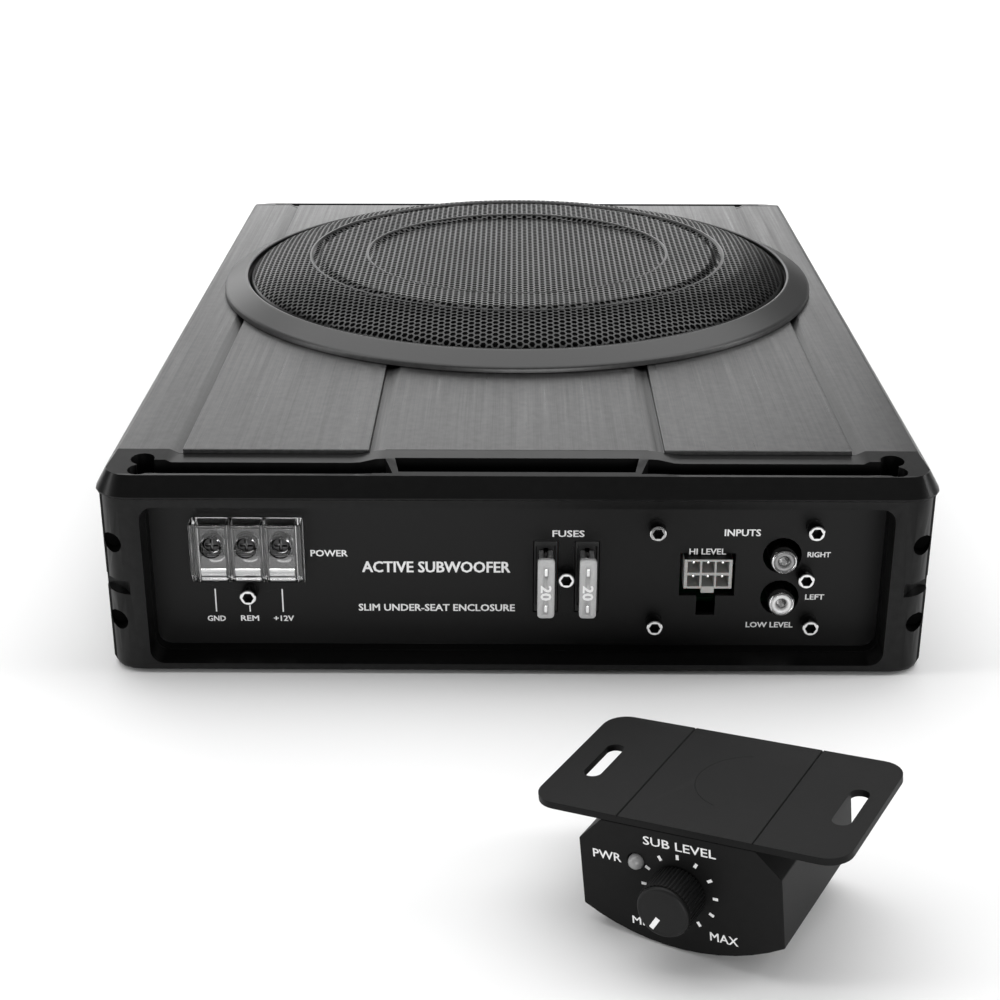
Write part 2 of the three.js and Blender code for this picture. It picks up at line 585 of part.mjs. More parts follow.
add('cone', turned([[83.6, 68.6], [19.2, 48.2], [18.7, 47], [21, 47.2], [84.4, 67.4]], 36),
  FINISH.paper, driver);
add('dust_cap', turned([[0, 61.2], [10, 60.6], [19, 58.6], [26, 55.4], [31, 52.6], [31, 52.2],
  [26, 54.4], [19, 57.5], [10, 59.5], [0, 60.1]], ROUND), FINISH.paper, driver);

// Surround: one half roll from the cone's rim to the frame.
function surround() {
  const [mid, wide, base] = [89.8, 5.4, 67.6];
  const arc = (r) => Array.from({ length: 7 }, (_, i) => {
    const turn = Math.PI - (Math.PI * i) / 6;
    return [mid + r * Math.cos(turn), base + 0.2 + 0.8 * r * Math.sin(turn)];
  });
  return turned([...arc(wide), [99, base + 0.2], [99, base - 0.2], ...arc(wide - 0.8).reverse()], 36);
}
add('surround', surround(), FINISH.rubber, driver);

// ---------------------------------------------------------------- amplifier
const BOARD = { x: 108, s: [34, 90], t: 1.6 };

function amplifierBoard() {
  const [s0, s1] = BOARD.s;
  const plate = block([-BOARD.x, BOARD.x], [s0, s1], [BOARD_Z, BOARD_Z + BOARD.t]);
  const holes = [-1, 1].flatMap((sx) => [s0 + 5, s1 - 5].map((s) =>
    rodZ(1.7, BOARD_Z - 1, BOARD_Z + 3, sx * (BOARD.x - 5), s, 16)));
  return cut(plate, ...holes).translate(0, fromFront(0), 0);
}

const ON_BOARD = BOARD_Z + BOARD.t + GAP;

function heatSink() {
  const [s0, s1] = [74, 88];
  const body = block([-96, -26], [s0, s1], [ON_BOARD, 38]);
  const grooves = Array.from({ length: 8 }, (_, i) =>
    block([-91 + i * 8, -87 + i * 8], [s0 - 1, s1 + 1], [18, 40]));
  return cut(body, ...grooves).translate(0, fromFront(0), 0);
}

add('amplifier_board', amplifierBoard(), FINISH.board);
add('heat_sink', heatSink(), FINISH.anodised);
add('power_transformer', turned([[6, ON_BOARD], [19, ON_BOARD], [21, ON_BOARD + 2],
  [21, ON_BOARD + 14], [19, ON_BOARD + 16], [6, ON_BOARD + 16]], 32).translate(6, fromFront(62), 0),
FINISH.copper);
for (const [i, x] of [44, 66].entries()) {
  const can = turned([[0, ON_BOARD], [9, ON_BOARD], [9, ON_BOARD + 33], [8.2, ON_BOARD + 34],
    [0, ON_BOARD + 34]], 24);
  add(`filter_capacitor_${i + 1}`, can.translate(x, fromFront(64), 0), FINISH.plastic);
}

// ---------------------------------------------------------------- remote level control
// A box with a curved belly under a flat mounting plate. It stands rocked on its belly.
const remote = new THREE.Group();
const bellyR = (REMOTE.width ** 2 / 4 + REMOTE.sagitta ** 2) / (2 * REMOTE.sagitta);
remote.rotation.order = 'ZYX';
remote.rotation.set(0, radians(REMOTE.rock), radians(REMOTE.yaw));
remote.position.set(REMOTE.x, fromFront(REMOTE.s), bellyR * (1 - Math.cos(radians(REMOTE.rock))));
assembly.add(remote);

// Front outline of the housing, grown outwards by a margin.
function housingOutline(margin) {
  const { width, height, sagitta, shoulder } = REMOTE;
  const half = width / 2 + margin;
  const top = height + margin;
  const r = bellyR + margin;
  const sweep = Math.asin(half / r);
  const belly = Array.from({ length: 13 }, (_, i) => {
    const turn = -sweep + (2 * sweep * i) / 12;
    return [r * Math.sin(turn), bellyR - r * Math.cos(turn)];
  });
  return [...belly, [half, top - shoulder], [half - shoulder, top], [-half + shoulder, top],
    [-half, top - shoulder]];
}

const KNOB_Z = 16.1;
const REMOTE_KNOB_R = 6.8;
const LAMP = { x: -10.8, z: 21.6, r: 1.9 };

function remoteHousing() {
  const { depth, wall } = REMOTE;
  const body = prismY(shapeOf(housingOutline(0)), 0, depth);
  const room = prismY(shapeOf(housingOutline(-wall)), wall, depth + 1);
  return cut(body, room, rodY(3.6, -1, wall + 1, 0, KNOB_Z, 24),
    rodY(LAMP.r + 0.2, -1, wall + 1, LAMP.x, LAMP.z, 20));
}

function remotePlate() {
  const { plateW, plateD, plateT, plateShift, height } = REMOTE;
  const [x0, x1] = [plateShift - plateW / 2, plateShift + plateW / 2];
  const z0 = height + GAP;
  const plate = prismZ(roundedRect(x0, x1, -GAP, plateD - GAP, 6), z0, z0 + plateT);
  const slots = [x0 + 8.7, x1 - 6.5].map((x) =>
    prismZ(roundedRect(x - 2.3, x + 2.3, 14, 30.5, 2.2), z0 - 1, z0 + 5));
  return cut(plate, ...slots);
}

function remoteKnob() {
  const flutes = 16;
  const outline = Array.from({ length: flutes * 2 }, (_, i) => {
    const turn = (Math.PI * i) / flutes;
    const r = REMOTE_KNOB_R - (i % 2 ? 0.35 : 0);
    return [r * Math.cos(turn), KNOB_Z + r * Math.sin(turn)];
  });
  const skirt = prismY(shapeOf(outline), -8.5, -0.6);
  const nose = turnedY([[0, 8.4], [6.3, 8.4], [6.3, 9.3], [5.7, 9.9], [0, 9.9]], 0, 0, KNOB_Z, 32);
  const bore = rodY(3.1, -7.4, 0, 0, KNOB_Z, 24);
  return cut(join(skirt, nose), bore);
}

add('remote_housing', remoteHousing(), FINISH.plastic, remote);
add('remote_plate', remotePlate(), FINISH.plastic, remote);
add('remote_back', cut(prismY(shapeOf(housingOutline(-REMOTE.wall - GAP)), REMOTE.depth - 2,
  REMOTE.depth - 0.2), rodY(2.6, 40, 50, 12, 12, 20)), FINISH.plastic, remote);
add('remote_knob', remoteKnob(), FINISH.rubber, remote);
add('remote_shaft', rodY(2.8, -7, 4.4, 0, KNOB_Z, 24), FINISH.steel, remote);
add('remote_potentiometer', join(block([-8, 8], [5, 14], [KNOB_Z - 8, KNOB_Z + 8]),
  block([-4, 4], [13.5, 16], [KNOB_Z - 3, KNOB_Z + 3])), FINISH.plastic, remote);
add('remote_lamp', turnedY([[0, -4], [LAMP.r, -4], [LAMP.r, 0.2], [1.6, 1], [0.9, 1.6], [0, 1.8]],
  LAMP.x, 0, LAMP.z, 20), FINISH.lamp, remote);

export default assembly;
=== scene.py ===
# %% [markdown]
# # Dressing a slim powered car subwoofer
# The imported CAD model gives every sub-part its true place and size. This lesson builds the surfaces
# that a customer sees: a brushed, anodised extrusion between two satin end caps, a stamped and
# punched grille, a recessed connection panel and a small wired level control.

# %% Load the fixed frame
import json
import math

import bmesh
import bpy
import numpy as np
from mathutils import Matrix, Vector

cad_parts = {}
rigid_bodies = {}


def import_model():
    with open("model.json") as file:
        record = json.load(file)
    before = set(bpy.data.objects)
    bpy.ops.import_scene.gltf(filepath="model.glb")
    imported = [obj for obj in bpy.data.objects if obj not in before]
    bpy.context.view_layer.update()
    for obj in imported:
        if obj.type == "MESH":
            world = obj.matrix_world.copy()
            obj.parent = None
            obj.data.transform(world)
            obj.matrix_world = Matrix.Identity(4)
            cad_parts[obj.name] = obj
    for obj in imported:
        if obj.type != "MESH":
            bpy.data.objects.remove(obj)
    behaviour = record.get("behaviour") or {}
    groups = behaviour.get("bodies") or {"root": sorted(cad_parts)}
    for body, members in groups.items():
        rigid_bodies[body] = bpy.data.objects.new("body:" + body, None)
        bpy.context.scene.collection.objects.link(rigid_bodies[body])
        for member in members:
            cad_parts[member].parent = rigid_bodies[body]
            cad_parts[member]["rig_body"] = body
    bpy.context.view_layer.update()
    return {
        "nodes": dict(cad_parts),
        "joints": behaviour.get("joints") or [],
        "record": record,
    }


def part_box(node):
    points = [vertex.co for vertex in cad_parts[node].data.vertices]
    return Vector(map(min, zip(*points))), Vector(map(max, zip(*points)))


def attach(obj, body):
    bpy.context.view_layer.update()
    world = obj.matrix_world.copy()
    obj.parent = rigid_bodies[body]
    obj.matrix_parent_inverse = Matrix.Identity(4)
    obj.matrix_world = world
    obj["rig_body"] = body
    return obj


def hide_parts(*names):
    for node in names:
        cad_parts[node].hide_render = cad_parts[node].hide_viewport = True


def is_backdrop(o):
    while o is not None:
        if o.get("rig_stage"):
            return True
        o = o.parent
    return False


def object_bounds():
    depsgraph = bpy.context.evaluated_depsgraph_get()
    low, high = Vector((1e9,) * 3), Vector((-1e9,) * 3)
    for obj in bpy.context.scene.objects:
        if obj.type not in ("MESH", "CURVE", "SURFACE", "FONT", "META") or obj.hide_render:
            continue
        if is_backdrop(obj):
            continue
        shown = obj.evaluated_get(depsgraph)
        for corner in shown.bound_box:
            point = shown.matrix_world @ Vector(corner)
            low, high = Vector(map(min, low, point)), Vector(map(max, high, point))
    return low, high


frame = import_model()
MM = 0.001

# %% [markdown]
# ## Camera, floor and light
# The camera comes first, because it decides how fine each surface has to be. It stands a little over
# half a metre from the connection panel and looks down at twenty-three degrees. The floor is pale
# and the light soft: a wide softbox overhead, a low panel behind that the brushed top mirrors,
# gentle strips at the sides, and a low fill in front for the print and the plated parts.

# %% Camera
def add_camera(place, tilt, turn, lens):
    data = bpy.data.cameras.new("camera")
    data.lens = lens
    data.sensor_width = 36
    data.clip_start = 0.01
    camera = bpy.data.objects.new("camera", data)
    camera.location = place
    camera.rotation_euler = (math.radians(90 - tilt), 0, math.radians(turn))
    bpy.context.scene.collection.objects.link(camera)
    bpy.context.scene.camera = camera
    return camera


camera = add_camera((-0.0009, -0.6375, 0.25815), tilt=23.21, turn=0.49, lens=62.9)
print("camera at", tuple(camera.location))


# %% Selecting by hand, in code
def deselect():
    if bpy.context.object and bpy.context.object.mode != "OBJECT":
        bpy.ops.object.mode_set(mode="OBJECT")
    bpy.ops.object.select_all(action="DESELECT")


def pick(*objects):
    deselect()
    for chosen in objects:
        chosen.select_set(True)
    bpy.context.view_layer.objects.active = objects[0]
    return objects[0]


def edit(piece, mode="FACE"):
    """Enter edit mode on one piece with nothing selected in it."""
    pick(piece)
    bpy.ops.object.mode_set(mode="EDIT")
    bpy.ops.mesh.select_mode(type=mode)
    bpy.ops.mesh.select_all(action="DESELECT")


def leave():
    bpy.ops.object.mode_set(mode="OBJECT")


def named(name):
    piece = bpy.context.object
    piece.name = name
    piece.data.name = name
    return piece


def settle(piece):
    """Put an object's place, turn and size into its mesh."""
    pick(piece)
    bpy.ops.object.transform_apply(location=True, rotation=True, scale=True)
    return piece


def modify(piece, kind, **values):
    """Add one modifier, set it and apply it."""
    pick(piece)
    modifier = piece.modifiers.new(kind.title(), kind)
    for key, value in values.items():
        setattr(modifier, key, value)
    bpy.ops.object.modifier_apply(modifier=modifier.name)
    return piece


def smooth(piece, angle=30):
    pick(piece)
    bpy.ops.object.shade_smooth_by_angle(angle=math.radians(angle))
    return piece


print("helpers ready")


# %% Floor and lights
def add_floor(size, height):
    deselect()
    bpy.ops.mesh.primitive_plane_add(size=size, location=(0, 0, height))
    floor = settle(named("studio_floor"))
    floor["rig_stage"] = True
    return floor


def add_area(name, place, aim, size, power):
    data = bpy.data.lights.new(name, "AREA")
    data.shape = "RECTANGLE"
    data.size, data.size_y = size
    data.energy = power
    light = bpy.data.objects.new(name, data)
    light.location = place
    light.rotation_euler = (Vector(aim) - Vector(place)).to_track_quat("-Z", "Y").to_euler()
    bpy.context.scene.collection.objects.link(light)
    return light


def add_sky(grey, strength):
    world = bpy.data.worlds.new("studio")
    world.use_nodes = True
    background = world.node_tree.nodes["Background"]
    background.inputs["Color"].default_value = (grey, grey, grey, 1)
    background.inputs["Strength"].default_value = strength
    bpy.context.scene.world = world


floor = add_floor(14, -0.0004)
add_sky(0.92, 0.16)
add_area("back_panel", (-0.5, 1.9, 0.6), (0, 0.1, 0.05), (2.4, 0.75), 11)
add_area("top_softbox", (0, 1.0, 2.3), (0, 0.9, 0), (4.0, 3.2), 92)
add_area("front_fill", (0.3, -2.3, 0.35), (0, -0.17, 0.03), (1.6, 0.5), 22)
add_area("left_strip", (-1.3, -0.3, 0.6), (0, 0, 0.05), (0.3, 1.4), 7)
add_area("right_strip", (1.3, -0.1, 0.6), (0, 0, 0.05), (0.3, 1.4), 8)
bpy.context.scene.view_settings.view_transform = "Standard"

# %% [markdown]
# ## Shared effects as node groups
# Brushing, moulded grain, edges lightened as wear and as painted highlight, and settled dust turn up
# on several finishes. Each is built once as a group with named inputs and puts out only heights, masks
# or shades. The shader itself stays in each material, with its constant gloss values straight on its
# sockets.

# %% Helpers for node trees
def new_group(name, inputs, outputs):
    group = bpy.data.node_groups.new(name, "ShaderNodeTree")
    for label, value in inputs.items():
        socket = group.interface.new_socket(label, in_out="INPUT", socket_type="NodeSocketFloat")
        socket.default_value = value
    for label in outputs:
        group.interface.new_socket(label, in_out="OUTPUT", socket_type="NodeSocketFloat")
    entry = group.nodes.new("NodeGroupInput")
    exit_ = group.nodes.new("NodeGroupOutput")
    return group, entry, exit_


def node(tree, kind, links=None, **values):
    """Add one node; values set its properties or sockets, links feed its sockets."""
    made = tree.nodes.new(kind)
    for key, value in values.items():
        if hasattr(made, key):
            setattr(made, key, value)
        else:
            made.inputs[key.replace("_", " ")].default_value = value
    for key, source in (links or {}).items():
        tree.links.new(source, made.inputs[key])
    return made


def maths(tree, operation, a, b):
    made = tree.nodes.new("ShaderNodeMath")
    made.operation = operation
    for socket, value in zip(made.inputs, (a, b)):
        if isinstance(value, (int, float)):
            socket.default_value = value
        else:
            tree.links.new(value, socket)
    return made.outputs[0]


def scaled_place(tree, along):
    """Object coordinates with each axis scaled, so that noise stretches into lines."""
    place = node(tree, "ShaderNodeTexCoord").outputs["Object"]
    mapping = tree.nodes.new("ShaderNodeMapping")
    mapping.inputs["Scale"].default_value = along
    tree.links.new(place, mapping.inputs["Vector"])
    return mapping.outputs["Vector"]


print("node helpers ready")


# %% The four shared effects
def brushed_lines_group():
    """Fine parallel scratches that run along Y."""
    group, entry, exit_ = new_group("brushed_lines", {"Contrast": 1.0}, ["Shade", "Height"])
    fine = node(group, "ShaderNodeTexNoise", {"Vector": scaled_place(group, (5200, 22, 900))},
                Scale=1.0, Detail=3.0, Roughness=0.7)
    broad = node(group, "ShaderNodeTexNoise", {"Vector": scaled_place(group, (900, 9, 300))},
                 Scale=1.0, Detail=2.0, Roughness=0.6)
    mix = maths(group, "ADD", maths(group, "MULTIPLY", fine.outputs["Fac"], 0.6),
                maths(group, "MULTIPLY", broad.outputs["Fac"], 0.4))
    centred = maths(group, "MULTIPLY", maths(group, "SUBTRACT", mix, 0.5), entry.outputs["Contrast"])
    group.links.new(maths(group, "ADD", centred, 0.5), exit_.inputs["Shade"])
    group.links.new(mix, exit_.inputs["Height"])
    return group


def moulded_grain_group():
    """Small rounded bumps of a spark-eroded mould or of powder coat."""
    group, entry, exit_ = new_group("moulded_grain", {"Grains": 2500.0}, ["Height", "Shade"])
    place = node(group, "ShaderNodeTexCoord").outputs["Object"]
    fine = node(group, "ShaderNodeTexNoise", {"Vector": place, "Scale": entry.outputs["Grains"]},
                Detail=2.0, Roughness=0.55)
    cloud = node(group, "ShaderNodeTexNoise", {"Vector": place}, Scale=28.0, Detail=4.0)
    group.links.new(fine.outputs["Fac"], exit_.inputs["Height"])
    group.links.new(cloud.outputs["Fac"], exit_.inputs["Shade"])
    return group


def edge_wear_and_highlight_group():
    """Bright where the surface turns outwards sharply, broken up by noise: worn edges, and a painted
    highlight on them.
    """
    group, entry, exit_ = new_group("edge_wear_and_highlight", {"Amount": 0.5}, ["Mask"])
    point = node(group, "ShaderNodeNewGeometry").outputs["Pointiness"]
    place = node(group, "ShaderNodeTexCoord").outputs["Object"]
    spots = node(group, "ShaderNodeTexNoise", {"Vector": place}, Scale=420.0, Detail=3.0)
    sharp = node(group, "ShaderNodeMapRange", {"Value": point}, From_Min=0.51, From_Max=0.6)
    broken = maths(group, "MULTIPLY", sharp.outputs["Result"], spots.outputs["Fac"])
    group.links.new(maths(group, "MULTIPLY", broken, entry.outputs["Amount"]), exit_.inputs["Mask"])
    return group


def settled_dust_group():
    """A thin, patchy film on faces that look up."""
    group, entry, exit_ = new_group("settled_dust", {"Amount": 0.1}, ["Mask"])
    normal = node(group, "ShaderNodeNewGeometry").outputs["Normal"]
    up = node(group, "ShaderNodeSeparateXYZ", {"Vector": normal}).outputs["Z"]
    place = node(group, "ShaderNodeTexCoord").outputs["Object"]
    patch = node(group, "ShaderNodeTexNoise", {"Vector": place}, Scale=60.0, Detail=5.0)
    facing = maths(group, "MAXIMUM", up, 0.0)
    film = maths(group, "MULTIPLY", maths(group, "MULTIPLY", facing, patch.outputs["Fac"]),
                 entry.outputs["Amount"])
    group.links.new(film, exit_.inputs["Mask"])
    return group


BRUSHED = brushed_lines_group()
GRAIN = moulded_grain_group()
EDGE_WEAR_AND_HIGHLIGHT = edge_wear_and_highlight_group()
DUST = settled_dust_group()
print("groups:", [g.name for g in (BRUSHED, GRAIN, EDGE_WEAR_AND_HIGHLIGHT, DUST)])

# %% [markdown]
# ## One recipe for a finish
# Most pieces here are dark and differ in how grain, roughness and edges read. A short recipe takes the
# colour, the roughness and the strength of each effect, so that every finish gets its own values.

# %% The recipe
def place_group(tree, group, **values):
    made = tree.nodes.new("ShaderNodeGroup")
    made.node_tree = group
    for key, value in values.items():
        made.inputs[key].default_value = value
    return made


def blend_colour(tree, mask, under, over):
    """Mix two colours by a mask; under may be a socket or a grey value."""
    mix = tree.nodes.new("ShaderNodeMix")
    mix.data_type = "RGBA"
    tree.links.new(mask, mix.inputs["Factor"])
    for key, value in (("A", under), ("B", over)):
        socket = [s for s in mix.inputs if s.name == key and s.type == "RGBA"][0]
        if isinstance(value, bpy.types.NodeSocket):
            tree.links.new(value, socket)
        else:
            socket.default_value = (*value, 1)
    return [s for s in mix.outputs if s.type == "RGBA"][0]


def grey(value):
    return (value, value, value)


def finish(name, colour, rough, spread=0.08, metallic=0.0, grain=2500.0, depth=0.00002, wear_and_highlight=0.0,
           wear_and_highlight_colour=(0.3, 0.3, 0.3), dust=0.02, brushed=0.0, **constants):
    """A dielectric or metal with grain or brushing, edges lightened as wear and as painted highlight,
    and a little dust.
    """
    material = bpy.data.materials.new(name)
    material.use_nodes = True
    tree = material.node_tree
    shader = tree.nodes["Principled BSDF"]
    shader.inputs["Metallic"].default_value = metallic
    for key, value in constants.items():
        shader.inputs[key.replace("_", " ")].default_value = value
    fine = place_group(tree, GRAIN, Grains=grain)
    shade, height = fine.outputs["Shade"], fine.outputs["Height"]
    if brushed:
        lines = place_group(tree, BRUSHED, Contrast=brushed)
        shade, height = lines.outputs["Shade"], lines.outputs["Height"]
    darker = tuple(c * 0.82 for c in colour)
    lighter = tuple(min(1, c * 1.18) for c in colour)
    colour_out = blend_colour(tree, shade, darker, lighter)
    # Sharp outward edges get a lighter colour: partly real wear, partly a painted highlight.
    if wear_and_highlight:
        mask = place_group(tree, EDGE_WEAR_AND_HIGHLIGHT, Amount=wear_and_highlight).outputs["Mask"]
        colour_out = blend_colour(tree, mask, colour_out, wear_and_highlight_colour)
    if dust:
        mask = place_group(tree, DUST, Amount=dust).outputs["Mask"]
        colour_out = blend_colour(tree, mask, colour_out, grey(0.35))
    tree.links.new(colour_out, shader.inputs["Base Color"])
    rough_range = node(tree, "ShaderNodeMapRange", {"Value": shade}, To_Min=rough - spread,
                       To_Max=rough + spread)
    tree.links.new(rough_range.outputs["Result"], shader.inputs["Roughness"])
    bump = node(tree, "ShaderNodeBump", {"Height": height}, Strength=1.0, Distance=depth)
    tree.links.new(bump.outputs["Normal"], shader.inputs["Normal"])
    return material


LOOK = {
    "anodised": finish("brushed_black_anodised", grey(0.06), 0.36, 0.14, metallic=1.0,
                       brushed=1.9, depth=0.000009, wear_and_highlight=0.4, wear_and_highlight_colour=grey(0.3), dust=0.0,
                       Anisotropic=0.5),
    "cap": finish("satin_black_coat", grey(0.002), 0.3, 0.04, grain=1600.0, depth=0.000006,
                  wear_and_highlight=0.1, wear_and_highlight_colour=grey(0.1), dust=0.002, Specular_IOR_Level=0.17),
    # The bore finish paints shade into the corner holes of the end caps.
    "bore": finish("painted_shade_bore", grey(0.001), 0.8, 0.05, grain=1600.0, dust=0.0,
                   Specular_IOR_Level=0.04),
    "panel": finish("matt_black_panel", grey(0.004), 0.42, 0.05, grain=2600.0, depth=0.000006,
                    dust=0.003, Specular_IOR_Level=0.2),
    "ring": finish("satin_ring", grey(0.012), 0.36, 0.05, grain=1800.0, depth=0.000005,
                   wear_and_highlight=0.2, dust=0.004, Specular_IOR_Level=0.5),
    "grille": finish("grille_enamel", grey(0.005), 0.32, 0.06, grain=900.0, depth=0.00001,
                     dust=0.004, Specular_IOR_Level=0.4),
    "nickel": finish("nickel_plate", grey(0.82), 0.14, 0.06, metallic=1.0, grain=700.0,
                     depth=0.000004, dust=0.0),
    "zinc": finish("zinc_screw", grey(0.5), 0.26, 0.08, metallic=1.0, grain=1500.0,
                   depth=0.000006, wear_and_highlight=0.3, wear_and_highlight_colour=grey(0.8), dust=0.0),
    # The dark screw finish is the black of the fixings, and also serves as painted shade on the panel
    # screws' sides and the clamps' tops.
    "dark_screw_and_shade": finish("blackened_screw_and_painted_shade", grey(0.03), 0.2, 0.08, metallic=1.0, grain=1500.0,
                         depth=0.000006, wear_and_highlight=0.4, wear_and_highlight_colour=grey(0.6), dust=0.0),
    "plastic": finish("black_moulding", grey(0.010), 0.5, 0.06, grain=3200.0, depth=0.00001,
                      dust=0.01, Specular_IOR_Level=0.35),
    "remote": finish("remote_moulding", grey(0.005), 0.5, 0.06, grain=3400.0, depth=0.00002,
                     dust=0.004, wear_and_highlight=0.1, wear_and_highlight_colour=grey(0.05), Specular_IOR_Level=0.12),
    "rubber": finish("matt_rubber", grey(0.006), 0.5, 0.06, grain=2800.0, depth=0.00001,
                     dust=0.006, Specular_IOR_Level=0.2),
    "nylon": finish("natural_nylon", (0.4, 0.4, 0.385), 0.42, 0.05, grain=1500.0, depth=0.000006,
                    dust=0.0, Subsurface_Weight=0.15, Subsurface_Scale=0.002),
    "white": finish("white_insulator", grey(0.9), 0.3, 0.05, grain=1500.0, depth=0.000003,
                    dust=0.0),
    "mid_grey": finish("grey_insulator", grey(0.3), 0.3, 0.05, grain=1500.0, depth=0.000003,
                       dust=0.0),
    "ink": finish("white_ink", grey(0.82), 0.5, 0.08, grain=5200.0, depth=0.000004, dust=0.0),
    "paper": finish("coated_cone", grey(0.006), 0.55, 0.08, grain=1800.0, depth=0.00004, dust=0.004,
                    Specular_IOR_Level=0.3),
    "steel": finish("painted_steel", grey(0.05), 0.4, 0.08, grain=1200.0, depth=0.00001, wear_and_highlight=0.3),
    "ferrite": finish("sintered_ferrite", grey(0.07), 0.7, 0.08, grain=2200.0, depth=0.00004),
    "cloth": finish("impregnated_cloth", (0.5, 0.34, 0.15), 0.8, 0.05, grain=1600.0, depth=0.00006),
    "board": finish("solder_mask", (0.01, 0.09, 0.035), 0.3, 0.06, grain=900.0, depth=0.000008),
    "copper": finish("enamelled_copper", (0.55, 0.2, 0.07), 0.3, 0.08, metallic=1.0,
                     grain=1400.0, depth=0.00002),
}
print("finishes:", len(LOOK))


# %% [markdown]
# ## Clear and translucent plastics
# The terminal cover is a crystal clear moulding and the fuses are a milky one. Both keep a plain
# transmission weight; only roughness and a faint flow pattern in the surface change over them.

# %% Clear finishes
def clear_finish(name, colour, rough, transmission, ior=1.49, flow=0.00002, gloss=0.5, grains=160.0):
    material = bpy.data.materials.new(name)
    material.use_nodes = True
    tree = material.node_tree
    shader = tree.nodes["Principled BSDF"]
    shader.inputs["IOR"].default_value = ior
    shader.inputs["Transmission Weight"].default_value = transmission
    shader.inputs["Specular IOR Level"].default_value = gloss
    place = node(tree, "ShaderNodeTexCoord").outputs["Object"]
    waves = node(tree, "ShaderNodeTexNoise", {"Vector": place}, Scale=grains, Detail=2.0)
    tint = blend_colour(tree, waves.outputs["Fac"], tuple(c * 0.9 for c in colour), colour)
    tree.links.new(tint, shader.inputs["Base Color"])
    polish = node(tree, "ShaderNodeMapRange", {"Value": waves.outputs["Fac"]}, To_Min=rough * 0.5,
                  To_Max=rough * 1.5)
    tree.links.new(polish.outputs["Result"], shader.inputs["Roughness"])
    bump = node(tree, "ShaderNodeBump", {"Height": waves.outputs["Fac"]}, Distance=flow)
    tree.links.new(bump.outputs["Normal"], shader.inputs["Normal"])
    return material


LOOK["clear"] = clear_finish("clear_moulding", grey(0.96), 0.03, 1.0, flow=0.00004, gloss=0.2)
LOOK["fuse"] = clear_finish("fuse_moulding", grey(0.85), 0.14, 0.5, flow=0.0002,
                             grains=1100.0)
LOOK["lens"] = clear_finish("lamp_lens", grey(0.34), 0.2, 0.2)
print("clear finishes ready")


# %% The floor's finish
def pale_floor():
    material = bpy.data.materials.new("pale_floor")
    material.use_nodes = True
    tree = material.node_tree
    shader = tree.nodes["Principled BSDF"]
    shader.inputs["Specular IOR Level"].default_value = 0.2
    place = node(tree, "ShaderNodeTexCoord").outputs["Object"]
    cloud = node(tree, "ShaderNodeTexNoise", {"Vector": place}, Scale=3.0, Detail=3.0)
    tint = blend_colour(tree, cloud.outputs["Fac"], grey(0.86), grey(0.9))
    tree.links.new(tint, shader.inputs["Base Color"])
    shader.inputs["Roughness"].default_value = 0.7
    return material


floor.data.materials.append(pale_floor())
print("floor finish:", floor.data.materials[0].name)


# %% [markdown]
# ## Dressing a CAD solid
# A CAD solid has the right shape but knife-sharp edges. A welded copy with a small bevel catches
# light on every edge as a real casting does, and then stands in for the node. Coplanar triangles are
# dissolved first, so that the bevel has clean flats to work from. A face with many holes keeps its
# triangles, because one polygon round several holes does not shade cleanly.

# %% A bevelled copy of a node
def dressed(name, node_name, look, slot_name, width=0.3, segments=2, angle=28, merge_flats=True):
    source = frame["nodes"][node_name]
    deselect()
    piece = bpy.data.objects.new(name, source.data.copy())
    bpy.context.scene.collection.objects.link(piece)
    pick(piece)
    edit(piece, "VERT")
    bpy.ops.mesh.select_all(action="SELECT")
    bpy.ops.mesh.remove_doubles(threshold=0.000002)
    if merge_flats:
        bpy.ops.mesh.dissolve_limited(angle_limit=math.radians(0.6))
    leave()
    modify(piece, "BEVEL", width=width * MM, segments=segments, limit_method="ANGLE",
           angle_limit=math.radians(angle), harden_normals=False, miter_outer="MITER_ARC",
           loop_slide=True, use_clamp_overlap=True)
    smooth(piece, 40)
    modify(piece, "WEIGHTED_NORMAL", keep_sharp=True, weight=80)
    return give(piece, look, slot_name, source["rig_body"], node_name)


def give(piece, look, slot_name, body, *nodes):
    """Finish, body and the CAD nodes that a piece stands for; the slot name is not used."""
    piece.data.materials.clear()
    piece.data.materials.append(LOOK[look])
    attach(piece, body)
    if nodes:
        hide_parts(*nodes)
    return piece


def paint_light_and_shade(piece, look, test):
    """Paint highlight and shade on the faces that pass a test of their middle and normal, as a second
    finish.
    """
    piece.data.materials.append(LOOK[look])
    for face in piece.data.polygons:
        if test(face.center / MM, face.normal):
            face.material_index = len(piece.data.materials) - 1
    return piece


SHELLS = [
    ("case_extrusion", "enclosure_extrusion", "anodised", "black_anodised", 0.25),
    ("front_end_cap", "front_cap", "cap", "satin_black", 0.45),
    ("rear_end_cap", "rear_cap", "cap", "satin_black", 0.45),
    ("connection_panel", "control_panel", "panel", "panel_black", 0.25),
    ("rear_control_panel", "rear_panel", "panel", "panel_black", 0.25),
    ("bottom_plate", "base_plate", "cap", "satin_black", 0.3),
    ("terminal_base", "terminal_block", "plastic", "black_plastic", 0.3),
    ("remote_case", "remote_housing", "remote", "remote_black", 0.5),
    ("remote_mounting_plate", "remote_plate", "remote", "remote_black", 0.5),
    ("remote_back_cover", "remote_back", "remote", "remote_black", 0.3),
    ("cord_jack", "remote_jack", "plastic", "black_plastic", 0.25),
    ("phase_slider", "phase_switch", "white", "white_plastic", 0.2),
    ("board_heat_sink", "heat_sink", "anodised", "black_anodised", 0.3),
    ("basket", "driver_frame", "steel", "frame_steel", 0.4),
]
PIERCED = ("control_panel", "rear_panel")
for shell_name, node_name, look, slot_name, width in SHELLS:
    made = dressed(shell_name, node_name, look, slot_name, width, merge_flats=node_name not in PIERCED)
    print(made.name, len(made.data.polygons), "faces")

